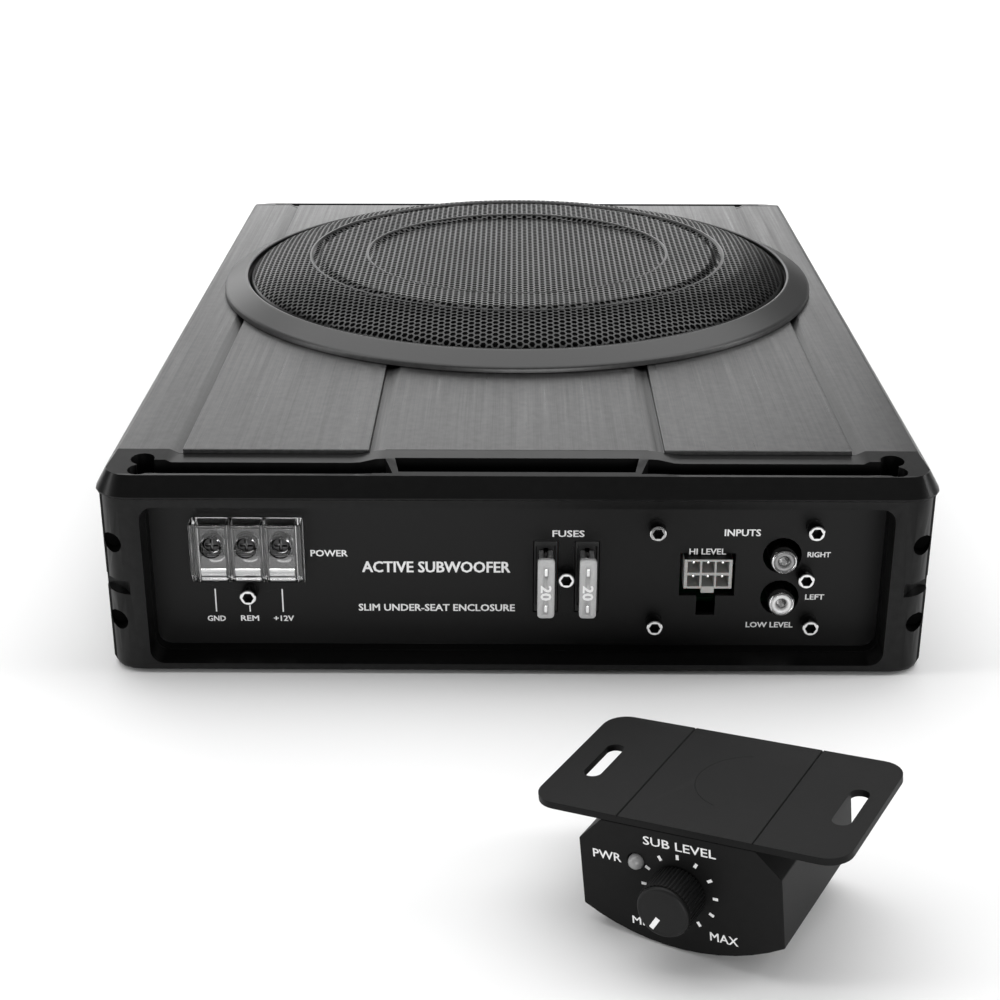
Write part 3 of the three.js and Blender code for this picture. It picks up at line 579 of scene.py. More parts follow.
# %% Bores of the caps' corner holes, painted near-black as shade
CORNER_HOLE = {"x": 120.1, "heights": (16.8, 42.3), "r": 3.3, "depth": 7.6}


def in_corner_hole(at, normal):
    across = abs(abs(at.x) - CORNER_HOLE["x"])
    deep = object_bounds()[1].y / MM - abs(at.y)
    near = any(abs(at.z - z) < CORNER_HOLE["r"] for z in CORNER_HOLE["heights"])
    return near and across < CORNER_HOLE["r"] and deep < CORNER_HOLE["depth"]


for cap_name in ("front_end_cap", "rear_end_cap"):
    paint_light_and_shade(bpy.data.objects[cap_name], "bore", in_corner_hole)
print("corner holes at heights", CORNER_HOLE["heights"])


# %% [markdown]
# ## Turned and sliced pieces
# Knobs, screws, jacks and the whole driver are bodies of revolution. By hand they are made from a
# chain of points that is extruded point by point and then spun about its axis. Flat pieces start as
# a filled circle whose corners are moved to the outline, and are then extruded.

# %% Helpers for turned, sliced and repeated pieces
FACING = {"up": (0, 0, 0), "front": (math.pi / 2, 0, 0), "back": (-math.pi / 2, 0, 0)}


def lathe(name, profile, sides=48, place=(0, 0, 0), facing="up", angle=35):
    """Spin a chain of (radius, height) points in millimetres about its axis."""
    deselect()
    bpy.ops.mesh.primitive_plane_add(size=MM)
    piece = named(name)
    edit(piece, "VERT")
    bpy.ops.mesh.select_all(action="SELECT")
    bpy.ops.mesh.merge(type="CENTER")
    at = Vector((0, 0))
    for step, point in enumerate(profile):
        move = (Vector(point) - at) * MM
        if step:
            bpy.ops.mesh.extrude_region_move(
                TRANSFORM_OT_translate={"value": (move.x, 0, move.y)})
        else:
            bpy.ops.transform.translate(value=(move.x, 0, move.y))
        at = Vector(point)
    bpy.ops.mesh.select_all(action="SELECT")
    bpy.ops.mesh.spin(steps=sides, angle=2 * math.pi, center=(0, 0, 0), axis=(0, 0, 1))
    bpy.ops.mesh.select_all(action="SELECT")
    bpy.ops.mesh.remove_doubles(threshold=0.000002)
    bpy.ops.mesh.normals_make_consistent(inside=False)
    leave()
    piece.rotation_euler = FACING[facing]
    piece.location = Vector(place) * MM
    settle(piece)
    return smooth(piece, angle)


def slab(name, outline, depth, place=(0, 0, 0), facing="front", bevel=0.0, segments=2):
    """Extrude a closed outline in millimetres; it faces the way given."""
    deselect()
    bpy.ops.mesh.primitive_circle_add(vertices=len(outline), radius=MM, fill_type="NGON")
    piece = named(name)
    for vertex, (x, y) in zip(piece.data.vertices, outline):
        vertex.co = (x * MM, y * MM, 0)
    edit(piece)
    bpy.ops.mesh.select_all(action="SELECT")
    bpy.ops.mesh.extrude_region_move(TRANSFORM_OT_translate={"value": (0, 0, -depth * MM)})
    bpy.ops.mesh.select_all(action="SELECT")
    bpy.ops.mesh.normals_make_consistent(inside=False)
    leave()
    piece.rotation_euler = FACING[facing]
    piece.location = Vector(place) * MM
    settle(piece)
    return soften(piece, bevel, segments)


def soften(piece, width, segments=2, angle=28):
    if width:
        modify(piece, "BEVEL", width=width * MM, segments=segments, limit_method="ANGLE",
               angle_limit=math.radians(angle), use_clamp_overlap=True)
    smooth(piece, 40)
    return modify(piece, "WEIGHTED_NORMAL", keep_sharp=True, weight=80)


def brick(name, low, high, bevel=0.0):
    """A box from its low to its high corner, in millimetres, with softened edges."""
    low, high = Vector(low), Vector(high)
    deselect()
    bpy.ops.mesh.primitive_cube_add(size=MM, location=(low + high) / 2 * MM, scale=high - low)
    return soften(settle(named(name)), bevel)


def twin(piece, name, shift=(0, 0, 0)):
    """A copy with its own mesh, moved in its mesh."""
    copy = piece.copy()
    copy.data = piece.data.copy()
    copy.name = copy.data.name = name
    bpy.context.scene.collection.objects.link(copy)
    copy.data.transform(Matrix.Translation(Vector(shift) * MM))
    return copy


def joined(name, pieces):
    pick(*pieces)
    bpy.ops.object.join()
    return named(name)


def carve(piece, *tools):
    """Cut the tools out of a piece and throw them away."""
    for tool in tools:
        modify(piece, "BOOLEAN", operation="DIFFERENCE", object=tool, solver="EXACT")
        bpy.data.objects.remove(tool)
    return piece


def rounded(half_x, half_y, radius, steps=6, centre=(0, 0)):
    """A rectangle with round corners, as a list of points."""
    points = []
    for corner, (sx, sy) in enumerate(((1, 1), (-1, 1), (-1, -1), (1, -1))):
        for step in range(steps + 1):
            turn = math.pi / 2 * (corner + step / steps)
            points.append((centre[0] + sx * (half_x - radius) + radius * math.cos(turn),
                           centre[1] + sy * (half_y - radius) + radius * math.sin(turn)))
    return points


print("modelling helpers ready")

# %% [markdown]
# ## The grille
# A stamped steel sheet with staggered holes, pressed into a dome with a raised band and a groove. It
# could be faked with a transparent pattern, but only real holes show the cone below and shade right
# from every side. One six-sided cell is modelled, its middle opened by an inset, then arrays lay it
# out, the sheet is pressed to the dome's profile and Solidify gives it its thickness.

# %% Ring round the grille
grille_centre = (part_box("grille_ring")[0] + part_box("grille_ring")[1]) / 2
DRIVER = (0, grille_centre.y / MM, 0)
RING_SECTION = [(114.7, 65.3), (114.7, 66.5), (114.4, 67.0), (113.5, 67.5), (107.0, 70.6),
                (106.4, 70.9), (105.9, 70.9), (105.6, 70.6), (105.7, 69.9), (113.2, 66.4),
                (113.2, 65.3), (114.7, 65.3)]
ring = lathe("trim_ring", RING_SECTION, sides=192, place=DRIVER, angle=50)
give(ring, "ring", "ring_metal", "enclosure", "grille_ring")
print("ring", len(ring.data.polygons), "faces")

# %% Punched and pressed sheet
PITCH = 2.43
HOLE = 1.06
SHEET = 0.9
SHEET_RADIUS = 106
TRIM_RADIUS = 104.4
DOME = [(0, 75.4), (56.6, 75.55), (58.9, 76.9), (76.2, 77.0), (78.3, 75.7), (79.3, 75.9),
        (80.8, 77.1), (88, 75.9), (96, 73.8), (101, 72.1), (103, 70.9), (105, 68.6)]
ZONES = [("grille_middle", 0, 57.8), ("grille_band", 57.8, 78.6), ("grille_skirt", 78.6, 110)]


def punched_cell():
    cell_radius = PITCH / math.sqrt(3)
    deselect()
    bpy.ops.mesh.primitive_circle_add(vertices=6, radius=cell_radius * MM, fill_type="NGON",
                                      rotation=(0, 0, math.pi / 2))
    cell = settle(named("grille_sheet"))
    edit(cell)
    bpy.ops.mesh.select_all(action="SELECT")
    bpy.ops.mesh.inset(thickness=(cell_radius - HOLE) * math.cos(math.pi / 6) * MM)
    bpy.ops.mesh.delete(type="FACE")
    leave()
    return cell


def lay_out(cell):
    across = PITCH * math.sqrt(3) / 2
    neighbour = twin(cell, "neighbour", (across, PITCH / 2, 0))
    sheet = joined("grille_sheet", [cell, neighbour])
    rows = math.ceil(2 * SHEET_RADIUS / PITCH) + 1
    columns = math.ceil(SHEET_RADIUS / across) + 1
    for count, step in ((rows, (0, PITCH, 0)), (columns, (2 * across, 0, 0))):
        modify(sheet, "ARRAY", count=count, use_relative_offset=False, use_constant_offset=True,
               constant_offset_displace=Vector(step) * MM)
    sheet.data.transform(Matrix.Translation(
        Vector((-(columns - 0.5) * across, -(rows - 1) * PITCH / 2, 0)) * MM))
    edit(sheet, "VERT")
    bpy.ops.mesh.select_all(action="SELECT")
    bpy.ops.mesh.remove_doubles(threshold=0.00003)
    leave()
    return sheet


def press(sheet):
    """Trim the sheet to a disc and press it to the dome's profile."""
    edit(sheet, "VERT")
    mesh = bmesh.from_edit_mesh(sheet.data)
    for vertex in mesh.verts:
        vertex.select = vertex.co.xy.length > TRIM_RADIUS * MM
    mesh.select_flush_mode()
    bmesh.update_edit_mesh(sheet.data)
    bpy.ops.mesh.delete(type="VERT")
    leave()
    radii, heights = zip(*DOME)
    place = np.zeros(len(sheet.data.vertices) * 3)
    sheet.data.vertices.foreach_get("co", place)
    place = place.reshape(-1, 3)
    radius = np.hypot(place[:, 0], place[:, 1]) / MM
    place[:, 2] = np.interp(radius, radii, heights) * MM
    place[:, 1] += DRIVER[1] * MM
    sheet.data.vertices.foreach_set("co", place.ravel())


def zone_of(sheet, name, inner, outer):
    part = twin(sheet, name)
    edit(part)
    mesh = bmesh.from_edit_mesh(part.data)
    for face in mesh.faces:
        centre = face.calc_center_median()
        radius = math.hypot(centre.x, centre.y - DRIVER[1] * MM) / MM
        face.select = not inner <= radius < outer
    bpy.ops.mesh.delete(type="FACE")
    leave()
    modify(part, "SOLIDIFY", thickness=SHEET * MM, offset=-1)
    return smooth(part, 40)


sheet = lay_out(punched_cell())
press(sheet)
zones = [zone_of(sheet, *zone) for zone in ZONES]
bpy.data.objects.remove(sheet)
border = lathe("grille_border", [(103.6, 70.3), (104.2, 69.8), (105.0, 68.6), (105.0, 67.6),
                                 (104.2, 67.6), (103.6, 69.2), (103.6, 70.3)], 160, DRIVER)
inner_bead = lathe("inner_bead", [(58.3, 76.3), (58.3, 76.7), (58.8, 77.05), (59.3, 77.0),
                                  (59.3, 76.3), (58.3, 76.3)], 160, DRIVER)
outer_bead = lathe("outer_bead", [(80.0, 76.2), (80.0, 76.6), (80.6, 77.2), (81.3, 77.1),
                                  (81.3, 76.3), (80.0, 76.2)], 160, DRIVER)
zones[0] = joined("grille_middle", [zones[0], inner_bead])
zones[2] = joined("grille_skirt", [zones[2], outer_bead, border])
for zone in zones:
    give(zone, "grille", "grille_black", "enclosure", "grille_mesh")
    print(zone.name, len(zone.data.polygons), "faces")

# %% [markdown]
# ## The driver below
# Through the holes a cone, its dust cap and the roll of its surround show faintly. They are spun with
# enough sides to stay round, and the cone keeps a few pressed ribs. The spider under the cone is a
# corrugated ring of stiffened cloth, cupped downwards to leave room for the cone's lowest position.

# %% Cone, dust cap, surround and spider
def arc_points(middle, radius, base, squash, start=180, end=0, steps=12):
    turns = [math.radians(start + (end - start) * i / steps) for i in range(steps + 1)]
    return [(middle + radius * math.cos(t), base + squash * radius * math.sin(t)) for t in turns]


cone = lathe("pressed_cone", [(84.0, 68.6), (60, 61.2), (58, 61.6), (56, 60.0), (40, 55.0),
                              (38, 55.2), (36, 53.6), (19.2, 48.2), (18.8, 47.2), (84.4, 67.4),
                              (84.0, 68.6)], 96, DRIVER)
give(cone, "paper", "cone_black", "cone_assembly", "cone")
cap = lathe("domed_dust_cap", [*arc_points(0, 31, 52.2, 0.29, 90, 8), (31.2, 52.4), (31.2, 51.6),
                               (30, 51.8), *arc_points(0, 30.2, 51.4, 0.28, 8, 90)], 96, DRIVER)
give(cap, "paper", "cone_black", "cone_assembly", "dust_cap")
roll = lathe("rubber_surround", [*arc_points(89.8, 5.4, 67.7, 0.8), (99, 67.7), (99, 67.2),
                                 *arc_points(89.8, 4.6, 67.3, 0.8, 0, 180), (84.4, 67.7)], 96, DRIVER)
give(roll, "rubber", "rubber_black", "enclosure", "surround")


def spider_section(inner=20.2, outer=50.4, low=40.9, rise=3.2, waves=5, swing=0.55, half=0.25):
    """A corrugated ring, cupped so that it stays below the cone at its lowest."""
    shares = [i / 60 for i in range(61)]
    middle = [(inner + (outer - inner) * share,
               low + rise * share + swing * math.sin(2 * math.pi * waves * share))
              for share in shares]
    top = [(r, z + half) for r, z in middle]
    under = [(r, z - half) for r, z in reversed(middle)]
    return [*top, *under, top[0]]


spider = lathe("cupped_spider", spider_section(), 72, DRIVER)
give(spider, "cloth", "spider_cloth", "enclosure", "spider")
print("driver pieces:", cone.name, cap.name, roll.name, spider.name)

# %% [markdown]
# ## Screws
# Seven socket screws hold the panel, each with a hexagon socket. Their sides are painted dark as shade
# and reflection, and their front rims take a bright plated finish that also serves as a painted
# highlight. One is turned and carved, the rims' faces take the bright finish, and copies go to each
# CAD place.

# %% Panel screws
def middle_of(node_name):
    low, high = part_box(node_name)
    return (low + high) / 2 / MM


def panel_screw():
    body = lathe("socket_screw", [(0, -5), (1.5, -5), (1.5, 0), (2.5, 0), (2.55, 0.2), (2.55, 5.0),
                                  (2.45, 5.3), (2.2, 5.45), (0, 5.45)], 32, facing="front")
    corners = [math.radians(60 * i) for i in range(6)]
    key = slab("key", [(1.75 * math.cos(t), 1.75 * math.sin(t)) for t in corners], 3, (0, -5.6, 0))
    return smooth(carve(body, key), 30)


pattern_screw = panel_screw()
screw_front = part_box("panel_screw_1")[0].y / MM
for number in range(1, 8):
    middle = middle_of(f"panel_screw_{number}")
    screw = twin(pattern_screw, f"socket_screw_{number}", (middle.x, screw_front + 5.5, middle.z))
    give(screw, "dark_screw_and_shade", "screw_steel", "enclosure", f"panel_screw_{number}")
    # The dark body is painted shade and reflection; the bright front rim is plated metal that also
    # serves as a painted highlight.
    paint_light_and_shade(screw, "nickel", lambda at, normal: at.y < screw_front + 0.35)
bpy.data.objects.remove(pattern_screw)
print("seven panel screws")

# %% [markdown]
# ## Power terminals
# Plated saddles clamp the wires under cross-head screws, behind a clear cover with a round opening in
# front of each screw. The cover's rounded edges carry most of its look, so its bevels are wide.

# %% Terminals and their cover
cover = dressed("clear_terminal_cover", "terminal_cover", "clear", "clear_plastic", width=0.45,
                segments=3)
SCREW_Z = middle_of("terminal_screw_1").z
COVER_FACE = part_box("terminal_cover")[0].y / MM
access = [lathe("access", [(0, -2), (3.4, -2), (3.4, 3), (0, 3)], 48,
                (middle_of(f"terminal_screw_{number}").x, COVER_FACE, SCREW_Z), "front")
          for number in range(1, 4)]
carve(cover, *access)
soften(cover, 0)
CLAMP_SHADE_ABOVE = 33.2
WASHER_SECTION = [(3.15, 0), (3.7, 0), (3.7, 0.3), (3.45, 0.6), (3.15, 0.3), (3.15, 0)]
for number in range(1, 4):
    clamp = dressed(f"wire_clamp_{number}", f"terminal_clamp_{number}", "nickel", "nickel_plate",
                    width=0.3, segments=3)
    # The plated clamp's faces above this height take the dark finish as painted shade.
    paint_light_and_shade(clamp, "dark_screw_and_shade", lambda at, normal: at.z > CLAMP_SHADE_ABOVE)
    dressed(f"clamp_screw_{number}", f"terminal_screw_{number}", "dark_screw_and_shade", "screw_steel",
            width=0.2, segments=3)
    seat = middle_of(f"terminal_screw_{number}")
    saddle_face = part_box(f"terminal_clamp_{number}")[0].y / MM + 2.3
    washer = lathe(f"clamp_washer_{number}", WASHER_SECTION, 48, (seat.x, saddle_face, seat.z),
                   "front")
    give(washer, "nickel", "nickel_plate", "enclosure")
print("terminals dressed")

# %% [markdown]
# ## Blade fuses
# Each fuse is a milky moulding on two blades: a rounded face with its rating printed on it, two prongs
# behind, and small windows over the bright test points.

# %% Lettering
def lettering(name, words, place, width, height, turn=0.0, depth=0.04, bold=0.07):
    """Raised words of a given width and height, their strokes thickened by shifted copies."""
    deselect()
    bpy.ops.object.text_add()
    text = bpy.context.object
    text.data.body = words
    text.data.resolution_u = 2
    text.data.extrude = 0.01
    bpy.ops.object.convert(target="MESH")
    piece = named(name)
    corners = np.array([vertex.co for vertex in piece.data.vertices])
    low, high = corners.min(0), corners.max(0)
    piece.data.transform(Matrix.Translation(-Vector((low + high) / 2)))
    piece.data.transform(Matrix.Diagonal((width * MM / (high[0] - low[0]),
                                          height * MM / (high[1] - low[1]), depth / 20, 1)))
    swell = bold * height / 2
    copies = [twin(piece, "stroke", shift) for shift in
              ((swell, swell / 2, 0.01), (-swell, -swell / 2, 0.02), (swell, -swell / 2, 0.03))]
    piece.data.transform(Matrix.Translation(Vector((-swell, swell / 2, 0)) * MM))
    piece = joined(name, [piece, *copies])
    piece.data.transform(Matrix.Rotation(math.radians(turn), 4, "Z"))
    piece.rotation_euler = FACING["front"]
    piece.location = Vector(place) * MM
    return settle(piece)


print("lettering ready")


# %% Fuses
def blade_fuse(number):
    node_name = f"fuse_{number}"
    low, high = (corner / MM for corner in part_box(node_name))
    x, front = (low.x + high.x) / 2, low.y
    middle = (low.z + high.z) / 2
    face = slab("face", rounded(2.6, 9.85, 1.3, centre=(0, middle + 0.3)), 1.9, (x, front, 0),
                bevel=0.5, segments=3)
    window_heights = (middle + 5.5, middle - 6.6)
    windows = [slab("window", rounded(0.75, 1.5, 0.6, centre=(0, z)), 1.2, (x, front - 0.5, 0))
               for z in window_heights]
    face = carve(face, *windows)
    prongs = [brick("prong", (x + side * 1.35 - 0.75, front + 1.6, middle - 8.6),
                    (x + side * 1.35 + 0.75, front + 11.2, middle + 8.2), 0.3) for side in (-1, 1)]
    web = brick("web", (x - 1.0, front + 1.6, middle - 8.0),
                (x + 1.0, front + 11.0, middle + 7.4), 0.2)
    body = joined(f"fuse_body_{number}", [face, web, *prongs])
    give(body, "fuse", "fuse_body", node_name, node_name)
    rating = lettering(f"fuse_rating_{number}", "20", (x, front - 0.03, middle - 0.9), 4.7, 3.1,
                       turn=-90, depth=0.06, bold=0.1)
    give(rating, "ink", "white_plastic", node_name)
    blades = [brick("blade", (x - 0.35, front + 4, z - 2.4), (x + 0.35, front + 18, z + 2.4), 0.15)
              for z in (middle - 5.6, middle + 5.6)]
    points = [brick("test_point", (x - 0.55, front + 0.5, z - 1.2),
                    (x + 0.55, front + 1.2, z + 1.2), 0.2) for z in window_heights]
    metal = joined(f"fuse_blades_{number}", [*blades, *points])
    give(metal, "nickel", "screw_steel", node_name)
    dressed(f"fuse_socket_{number}", f"fuse_holder_{number}", "plastic", "black_plastic", width=0.2)


for number in (1, 2):
    blade_fuse(number)
print("two fuses")

# %% [markdown]
# ## Signal inputs
# The speaker-level header is a natural nylon moulding with six square wells and a pin in each. The
# phono jacks are nickel shells with a rolled lip round an insulator, one grey and one white.

# %% Speaker-level header
SOCKET_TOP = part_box("high_level_socket")[1].z / MM
header = dressed("input_header", "high_level_socket", "nylon", "nylon_white", width=0.18,
                 merge_flats=False)
# The nylon header's up-facing top takes the black moulding finish: painted shade.
paint_light_and_shade(header, "plastic", lambda at, normal: normal.z > 0.7 and at.z > SOCKET_TOP - 0.4)
header_low, header_high = (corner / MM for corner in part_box("high_level_socket"))
header_x = (header_low.x + header_high.x) / 2
pin_row_z = header_high.z - 4.9 + 1.1
pins = []
for column in (-4.4, 0, 4.4):
    for row in (-2.3, 2.3):
        x, z = header_x + column, pin_row_z + row
        pins.append(brick("pin", (x - 0.4, header_low.y + 0.9, z - 0.4),
                          (x + 0.4, header_low.y + 9.5, z + 0.4), 0.25))
give(joined("header_pins", pins), "nickel", "nickel_plate", "enclosure")
print("header pins:", len(pins))

# %% Phono jacks
SHELL_SECTION = [(3.55, 0), (4.1, 0), (4.1, 13.9), (4.0, 14.6), (3.75, 15.05), (3.45, 15.18),
                 (3.2, 15.05), (3.05, 14.7), (3.05, 14.0), (3.55, 13.6), (3.55, 0)]
INSULATOR_SECTION = [(0, 0.5), (3.4, 0.5), (3.4, 13.4), (3.0, 13.6), (3.0, 14.5), (2.8, 14.8),
                     (2.2, 14.8), (2.0, 14.6), (1.85, 14.2), (1.85, 6.0), (0, 5.6)]
CONTACT_SECTION = [(0, 5.8), (1.8, 5.8), (1.8, 13.9), (1.65, 14.1), (1.45, 13.9), (1.45, 10.5),
                   (0, 10.5)]
for side, look, slot_name in (("right", "mid_grey", "grey_insulator"),
                              ("left", "white", "white_insulator")):
    middle = middle_of(f"rca_shell_{side}")
    root = (middle.x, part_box(f"rca_shell_{side}")[1].y / MM, middle.z)
    give(lathe(f"phono_shell_{side}", SHELL_SECTION, 64, root, "front", 50), "nickel",
         "nickel_plate", "enclosure", f"rca_shell_{side}")
    give(lathe(f"phono_insulator_{side}", INSULATOR_SECTION, 48, root, "front", 50), look,
         slot_name, "enclosure", f"rca_insulator_{side}")
    give(lathe(f"phono_contact_{side}", CONTACT_SECTION, 32, root, "front"), "zinc", "screw_steel",
         "enclosure")
print("phono jacks ready")

# %% [markdown]
# ## White print
# The panel carries generic words for its terminals, fuses and inputs, with leader lines under the
# terminals. Each word is a thin raised film, sized to the width and height it has on the panel.

# %% Panel print
PANEL_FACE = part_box("control_panel")[0].y / MM + 4
WORDS = [("POWER", -57, 33.9, 11.2, 2.1), ("FUSES", 15.7, 40.7, 9.6, 2.1),
         ("INPUTS", 68.3, 41.2, 10.8, 2.2), ("HI LEVEL", 58, 34.9, 11, 1.9),
         ("RIGHT", 91.8, 34, 6.9, 1.7), ("LEFT", 91.45, 19.7, 5.7, 1.7),
         ("LOW LEVEL", 78.1, 10.1, 14.4, 1.8), ("GND", -92.6, 11.6, 5.5, 1.8),
         ("REM", -82.3, 11.7, 5.5, 1.8), ("+12V", -71.8, 11.7, 6.1, 1.8),
         ("ACTIVE SUBWOOFER", -24.5, 29.4, 45, 3.6),
         ("SLIM UNDER-SEAT ENCLOSURE", -24.5, 15.6, 48, 2.3)]
LEADERS = [(-92.5, 13.9, 21.7), (-82.1, 13.9, 16.3), (-71.9, 13.9, 21.7)]
print_at = PANEL_FACE - 0.03
film = [lettering("word", words, (x, print_at, z), width, height)
        for words, x, z, width, height in WORDS]
film += [brick("leader", (x - 0.2, print_at - 0.02, low), (x + 0.2, print_at + 0.02, high))
         for x, low, high in LEADERS]
give(joined("panel_print", film), "ink", "white_plastic", "enclosure")
print("panel print:", len(WORDS), "words")

# %% [markdown]
# ## The wired level control
# A small moulded box with a curved belly, a slotted plate on top, a knurled knob and a lamp. Its own
# axes come from the frame: the knob's joint gives its front-to-back line and the plate's mount gives
# its upward line. New pieces are modelled square and then placed with that matrix.

# %% Its own axes
knob_joint = next(j for j in frame["joints"] if j["name"] == "remote_knob_turn")
plate_mount = next(m for m in frame["record"]["mounts"] if m["name"] == "remote_plate_top")
KNOB_HEIGHT = 16.1
depth_axis = Vector(knob_joint["axis"]).normalized()
up_axis = Vector(plate_mount["axis"]).normalized()
side_axis = depth_axis.cross(up_axis)
foot = Vector(knob_joint["pos_m"]) - up_axis * KNOB_HEIGHT * MM
REMOTE = Matrix.Translation(foot) @ Matrix((side_axis, depth_axis, up_axis)).transposed().to_4x4()


def on_remote(piece):
    piece.data.transform(REMOTE)
    return piece


print("level control stands at", tuple(round(c, 4) for c in foot))


# %% Knob
def knurled(radius, ridges, depth):
    points = []
    for step in range(ridges * 4):
        turn = 2 * math.pi * step / (ridges * 4)
        r = radius - (depth if step % 4 in (2, 3) else 0)
        points.append((r * math.cos(turn), KNOB_HEIGHT + r * math.sin(turn)))
    return points


grip = slab("grip", knurled(6.75, 44, 0.28), 7.8, (0, -8.5, 0))
bore = lathe("bore", [(0, -1), (3.1, -1), (3.1, 6.9), (0, 6.9)], 24, (0, -0.5, KNOB_HEIGHT),
             "front")
nose = lathe("nose", [(0, 0), (6.2, 0), (6.4, 0.3), (6.4, 0.85), (6.15, 1.25), (5.75, 1.4),
                      (5.3, 1.33), (4.9, 1.42), (2.5, 1.47), (0, 1.5)], 96,
             (0, -8.4, KNOB_HEIGHT), "front", 50)
level_knob = joined("level_knob", [carve(grip, bore), nose])
give(on_remote(level_knob), "rubber", "knob_rubber", "remote_knob", "remote_knob")
POINTER_TURN = math.radians(237)
pointer = brick("level_pointer", (1.8, -10.0, -0.6), (5.2, -9.7, 0.6), 0.1)
pointer.data.transform(Matrix.Translation((0, 0, KNOB_HEIGHT * MM))
                       @ Matrix.Rotation(-POINTER_TURN, 4, "Y"))
give(on_remote(pointer), "ink", "white_plastic", "remote_knob")
print("knob and pointer")

# %% Lamp and print
lamp_node = REMOTE.inverted() @ (middle_of("remote_lamp") * MM) / MM
lamp = lathe("power_lamp", [(0, -4), (1.9, -4), (1.9, 0.1), (1.85, 0.5), (1.6, 1.1), (1.1, 1.6),
                            (0.5, 1.85), (0, 1.9)], 48, (lamp_node.x, 0, lamp_node.z), "front", 60)
give(on_remote(lamp), "lens", "lamp_lens", "remote", "remote_lamp")

TICKS = 11
TICK_R = 9.0
REMOTE_WORDS = [("SUB LEVEL", 0.6, 27.9, 18.1, 2.2), ("PWR", -18.2, 21.6, 7.3, 2.2),
                ("MIN", -9.8, 5.4, 5.8, 2.0), ("MAX", 10.6, 5.8, 6.9, 2.2)]
marks = [lettering("word", words, (x, -0.03, z), width, height, bold=0.03)
         for words, x, z, width, height in REMOTE_WORDS]
for step in range(TICKS):
    tick = brick("tick", (TICK_R - 0.65, -0.05, -0.37), (TICK_R + 0.65, -0.01, 0.37))
    turn = math.radians(240 - 30 * step)
    tick.data.transform(Matrix.Translation((0, 0, KNOB_HEIGHT * MM))
                        @ Matrix.Rotation(-turn, 4, "Y"))
    marks.append(tick)
give(on_remote(joined("level_print", marks)), "ink", "white_plastic", "remote")
print("lamp and print")

# %% Score lines in the mounting plate
PLATE_TOP = 33.1
plate = bpy.data.objects["remote_mounting_plate"]
SCORE_PLACES = (-14.8, 18.8)
scores = [slab("score", [(x - 0.35, PLATE_TOP + 0.1), (x, PLATE_TOP - 0.35),
                         (x + 0.35, PLATE_TOP + 0.1)], 50, (0, -2, 0)) for x in SCORE_PLACES]
arc = lathe("score", [(12.5, 0.1), (12.8, -0.16), (13.1, 0.1), (12.5, 0.1)], 96,
            (8.2, 24.2, PLATE_TOP))
scores.append(carve(arc, brick("half", (4.4, 0, 30), (40, 60, 36))))
carve(plate, *[on_remote(score) for score in scores])
soften(plate, 0)
print("plate scored:", len(plate.data.polygons), "faces")

# %% [markdown]
# ## Rear controls
# Three knobs, a slider and the jack for the level control sit in the rear recess. The knobs are
# knurled like the front one, with a white pointer let into each.

# %% Rear knobs
def rear_knob(name):
    middle = middle_of(name)
    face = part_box(name)[1].y / MM
    ridges = [(x + middle.x, z - KNOB_HEIGHT + middle.z) for x, z in knurled(4.9, 28, 0.25)]
    grip = slab("grip", ridges, 5.2, (0, face - 0.7 - 5.2, 0))
    nose = lathe("nose", [(0, 0), (4.5, 0), (4.6, 0.2), (4.5, 0.6), (4.2, 0.7), (0, 0.7)], 64,
                 (middle.x, face - 0.7, middle.z), "back", 50)
    shaft = lathe("shaft", [(0, 0), (1.5, 0), (1.5, 5), (0, 5)], 24,
                  (middle.x, face - 10.6, middle.z), "back")
    give(joined(f"rear_{name}", [grip, nose, shaft]), "plastic", "black_plastic", name, name)
    mark = brick(f"{name}_mark", (middle.x - 0.4, face - 0.1, middle.z + 1.4),
                 (middle.x + 0.4, face + 0.05, middle.z + 4.1))
    give(mark, "ink", "white_plastic", name)


for knob_name in ("gain_knob", "crossover_knob", "boost_knob"):
    rear_knob(knob_name)
print("rear knobs")

# %% Rear print
REAR_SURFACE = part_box("gain_knob")[1].y / MM - 6.6
REAR_WORDS = [("GAIN", "gain_knob", 9), ("CROSSOVER", "crossover_knob", 9),
              ("BOOST", "boost_knob", 9), ("PHASE", "phase_switch", 9),
              ("0   180", "phase_switch", -6), ("REMOTE", "remote_jack", 9)]
REAR_WORD_HEIGHT = 1.8


def label_width(words, height):
    return 0.8 * height * len(words)


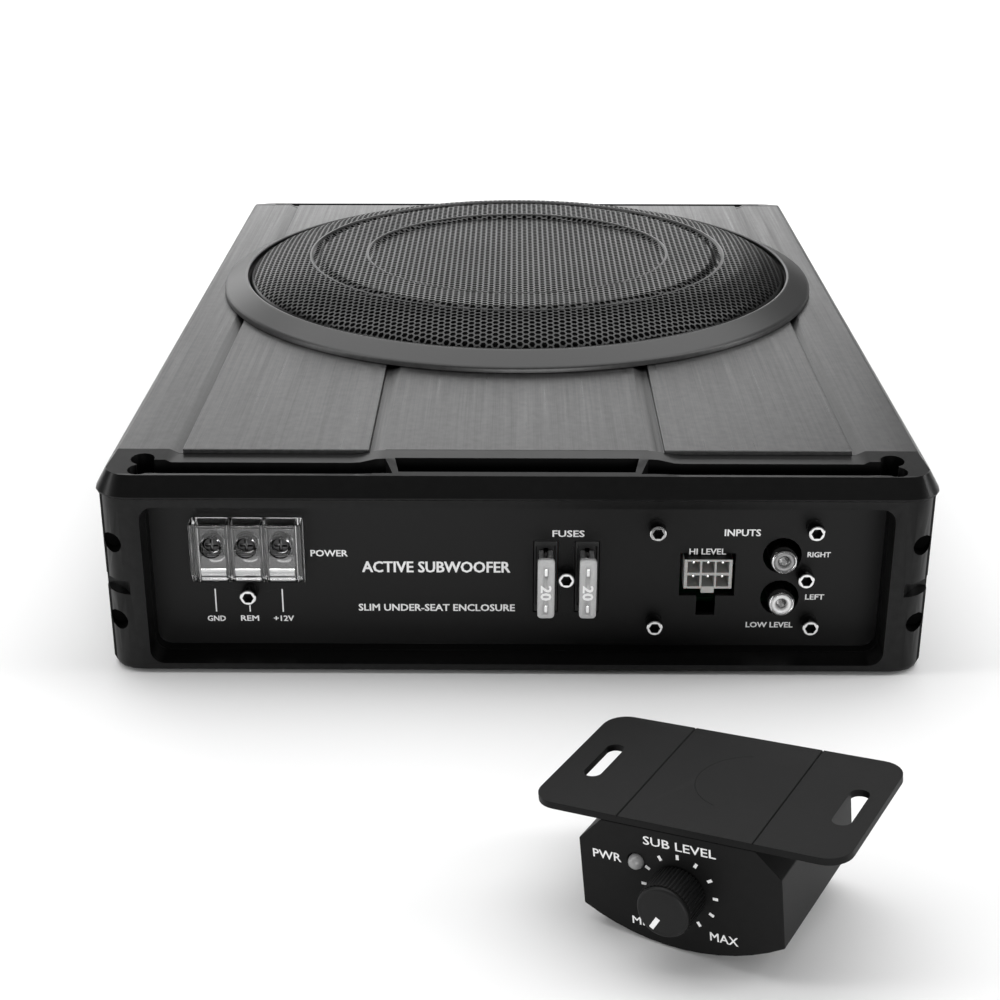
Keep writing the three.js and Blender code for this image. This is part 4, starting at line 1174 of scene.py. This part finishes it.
film = []
for words, node_name, lift in REAR_WORDS:
    middle = middle_of(node_name)
    place = (middle.x, REAR_SURFACE + 0.03, middle.z + lift)
    word = lettering("word", words, (0, 0, 0), label_width(words, REAR_WORD_HEIGHT),
                     REAR_WORD_HEIGHT)
    word.data.transform(Matrix.Translation(Vector(place) * MM) @ Matrix.Rotation(math.pi, 4, "Z"))
    film.append(word)
give(joined("rear_print", film), "ink", "white_plastic", "enclosure")
print("rear print:", len(REAR_WORDS), "words")

# %% Rear and base screws
BUTTON_SECTION = [(0, -3), (1.5, -3), (1.5, 0), (2.6, 0), (2.6, 0.7), (2.1, 1.5), (1.3, 1.75),
                  (1.15, 1.2), (0, 0.9)]
FLUSH_SECTION = [(0, 1.2), (0.9, 0.9), (1.1, -0.1), (2.9, -0.15), (3.1, 0.1), (3.1, 1.5),
                 (0, 1.5)]
rear_screws = [lathe("button_screw", BUTTON_SECTION, 28, (x, REAR_SURFACE, z), "back")
               for x in (-98, 98) for z in (10.5, 47.5)]
give(joined("rear_panel_screws", rear_screws), "dark_screw_and_shade", "screw_steel", "enclosure")

base_low, base_high = (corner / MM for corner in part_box("base_plate"))
base_screws = []
for x in (-112, 0, 112):
    for y in (base_low.y + 10, (base_low.y + base_high.y) / 2, base_high.y - 10):
        if x or abs(y) > 100:
            base_screws.append(lathe("flush_screw", FLUSH_SECTION, 28, (x, y, 0)))
give(joined("base_plate_screws", base_screws), "dark_screw_and_shade", "screw_steel", "enclosure")
print("rear and base fixings:", len(rear_screws) + len(base_screws))

# %% [markdown]
# ## Inner parts that keep their CAD shape
# The motor, the amplifier and the control's potentiometer are hidden, and their CAD shapes are good
# enough. They still get a finish of their own.

# %% Finishes for carried-over nodes
KEPT = {"driver_gasket": "rubber", "top_plate": "steel", "magnet": "ferrite", "yoke": "steel",
        "voice_coil": "copper", "amplifier_board": "board", "power_transformer": "copper",
        "filter_capacitor_1": "plastic", "filter_capacitor_2": "plastic", "remote_shaft": "zinc",
        "remote_potentiometer": "plastic"}
for node_name, look in KEPT.items():
    for slot in frame["nodes"][node_name].material_slots:
        slot.material = LOOK[look]
print("finishes on", len(KEPT), "kept nodes")
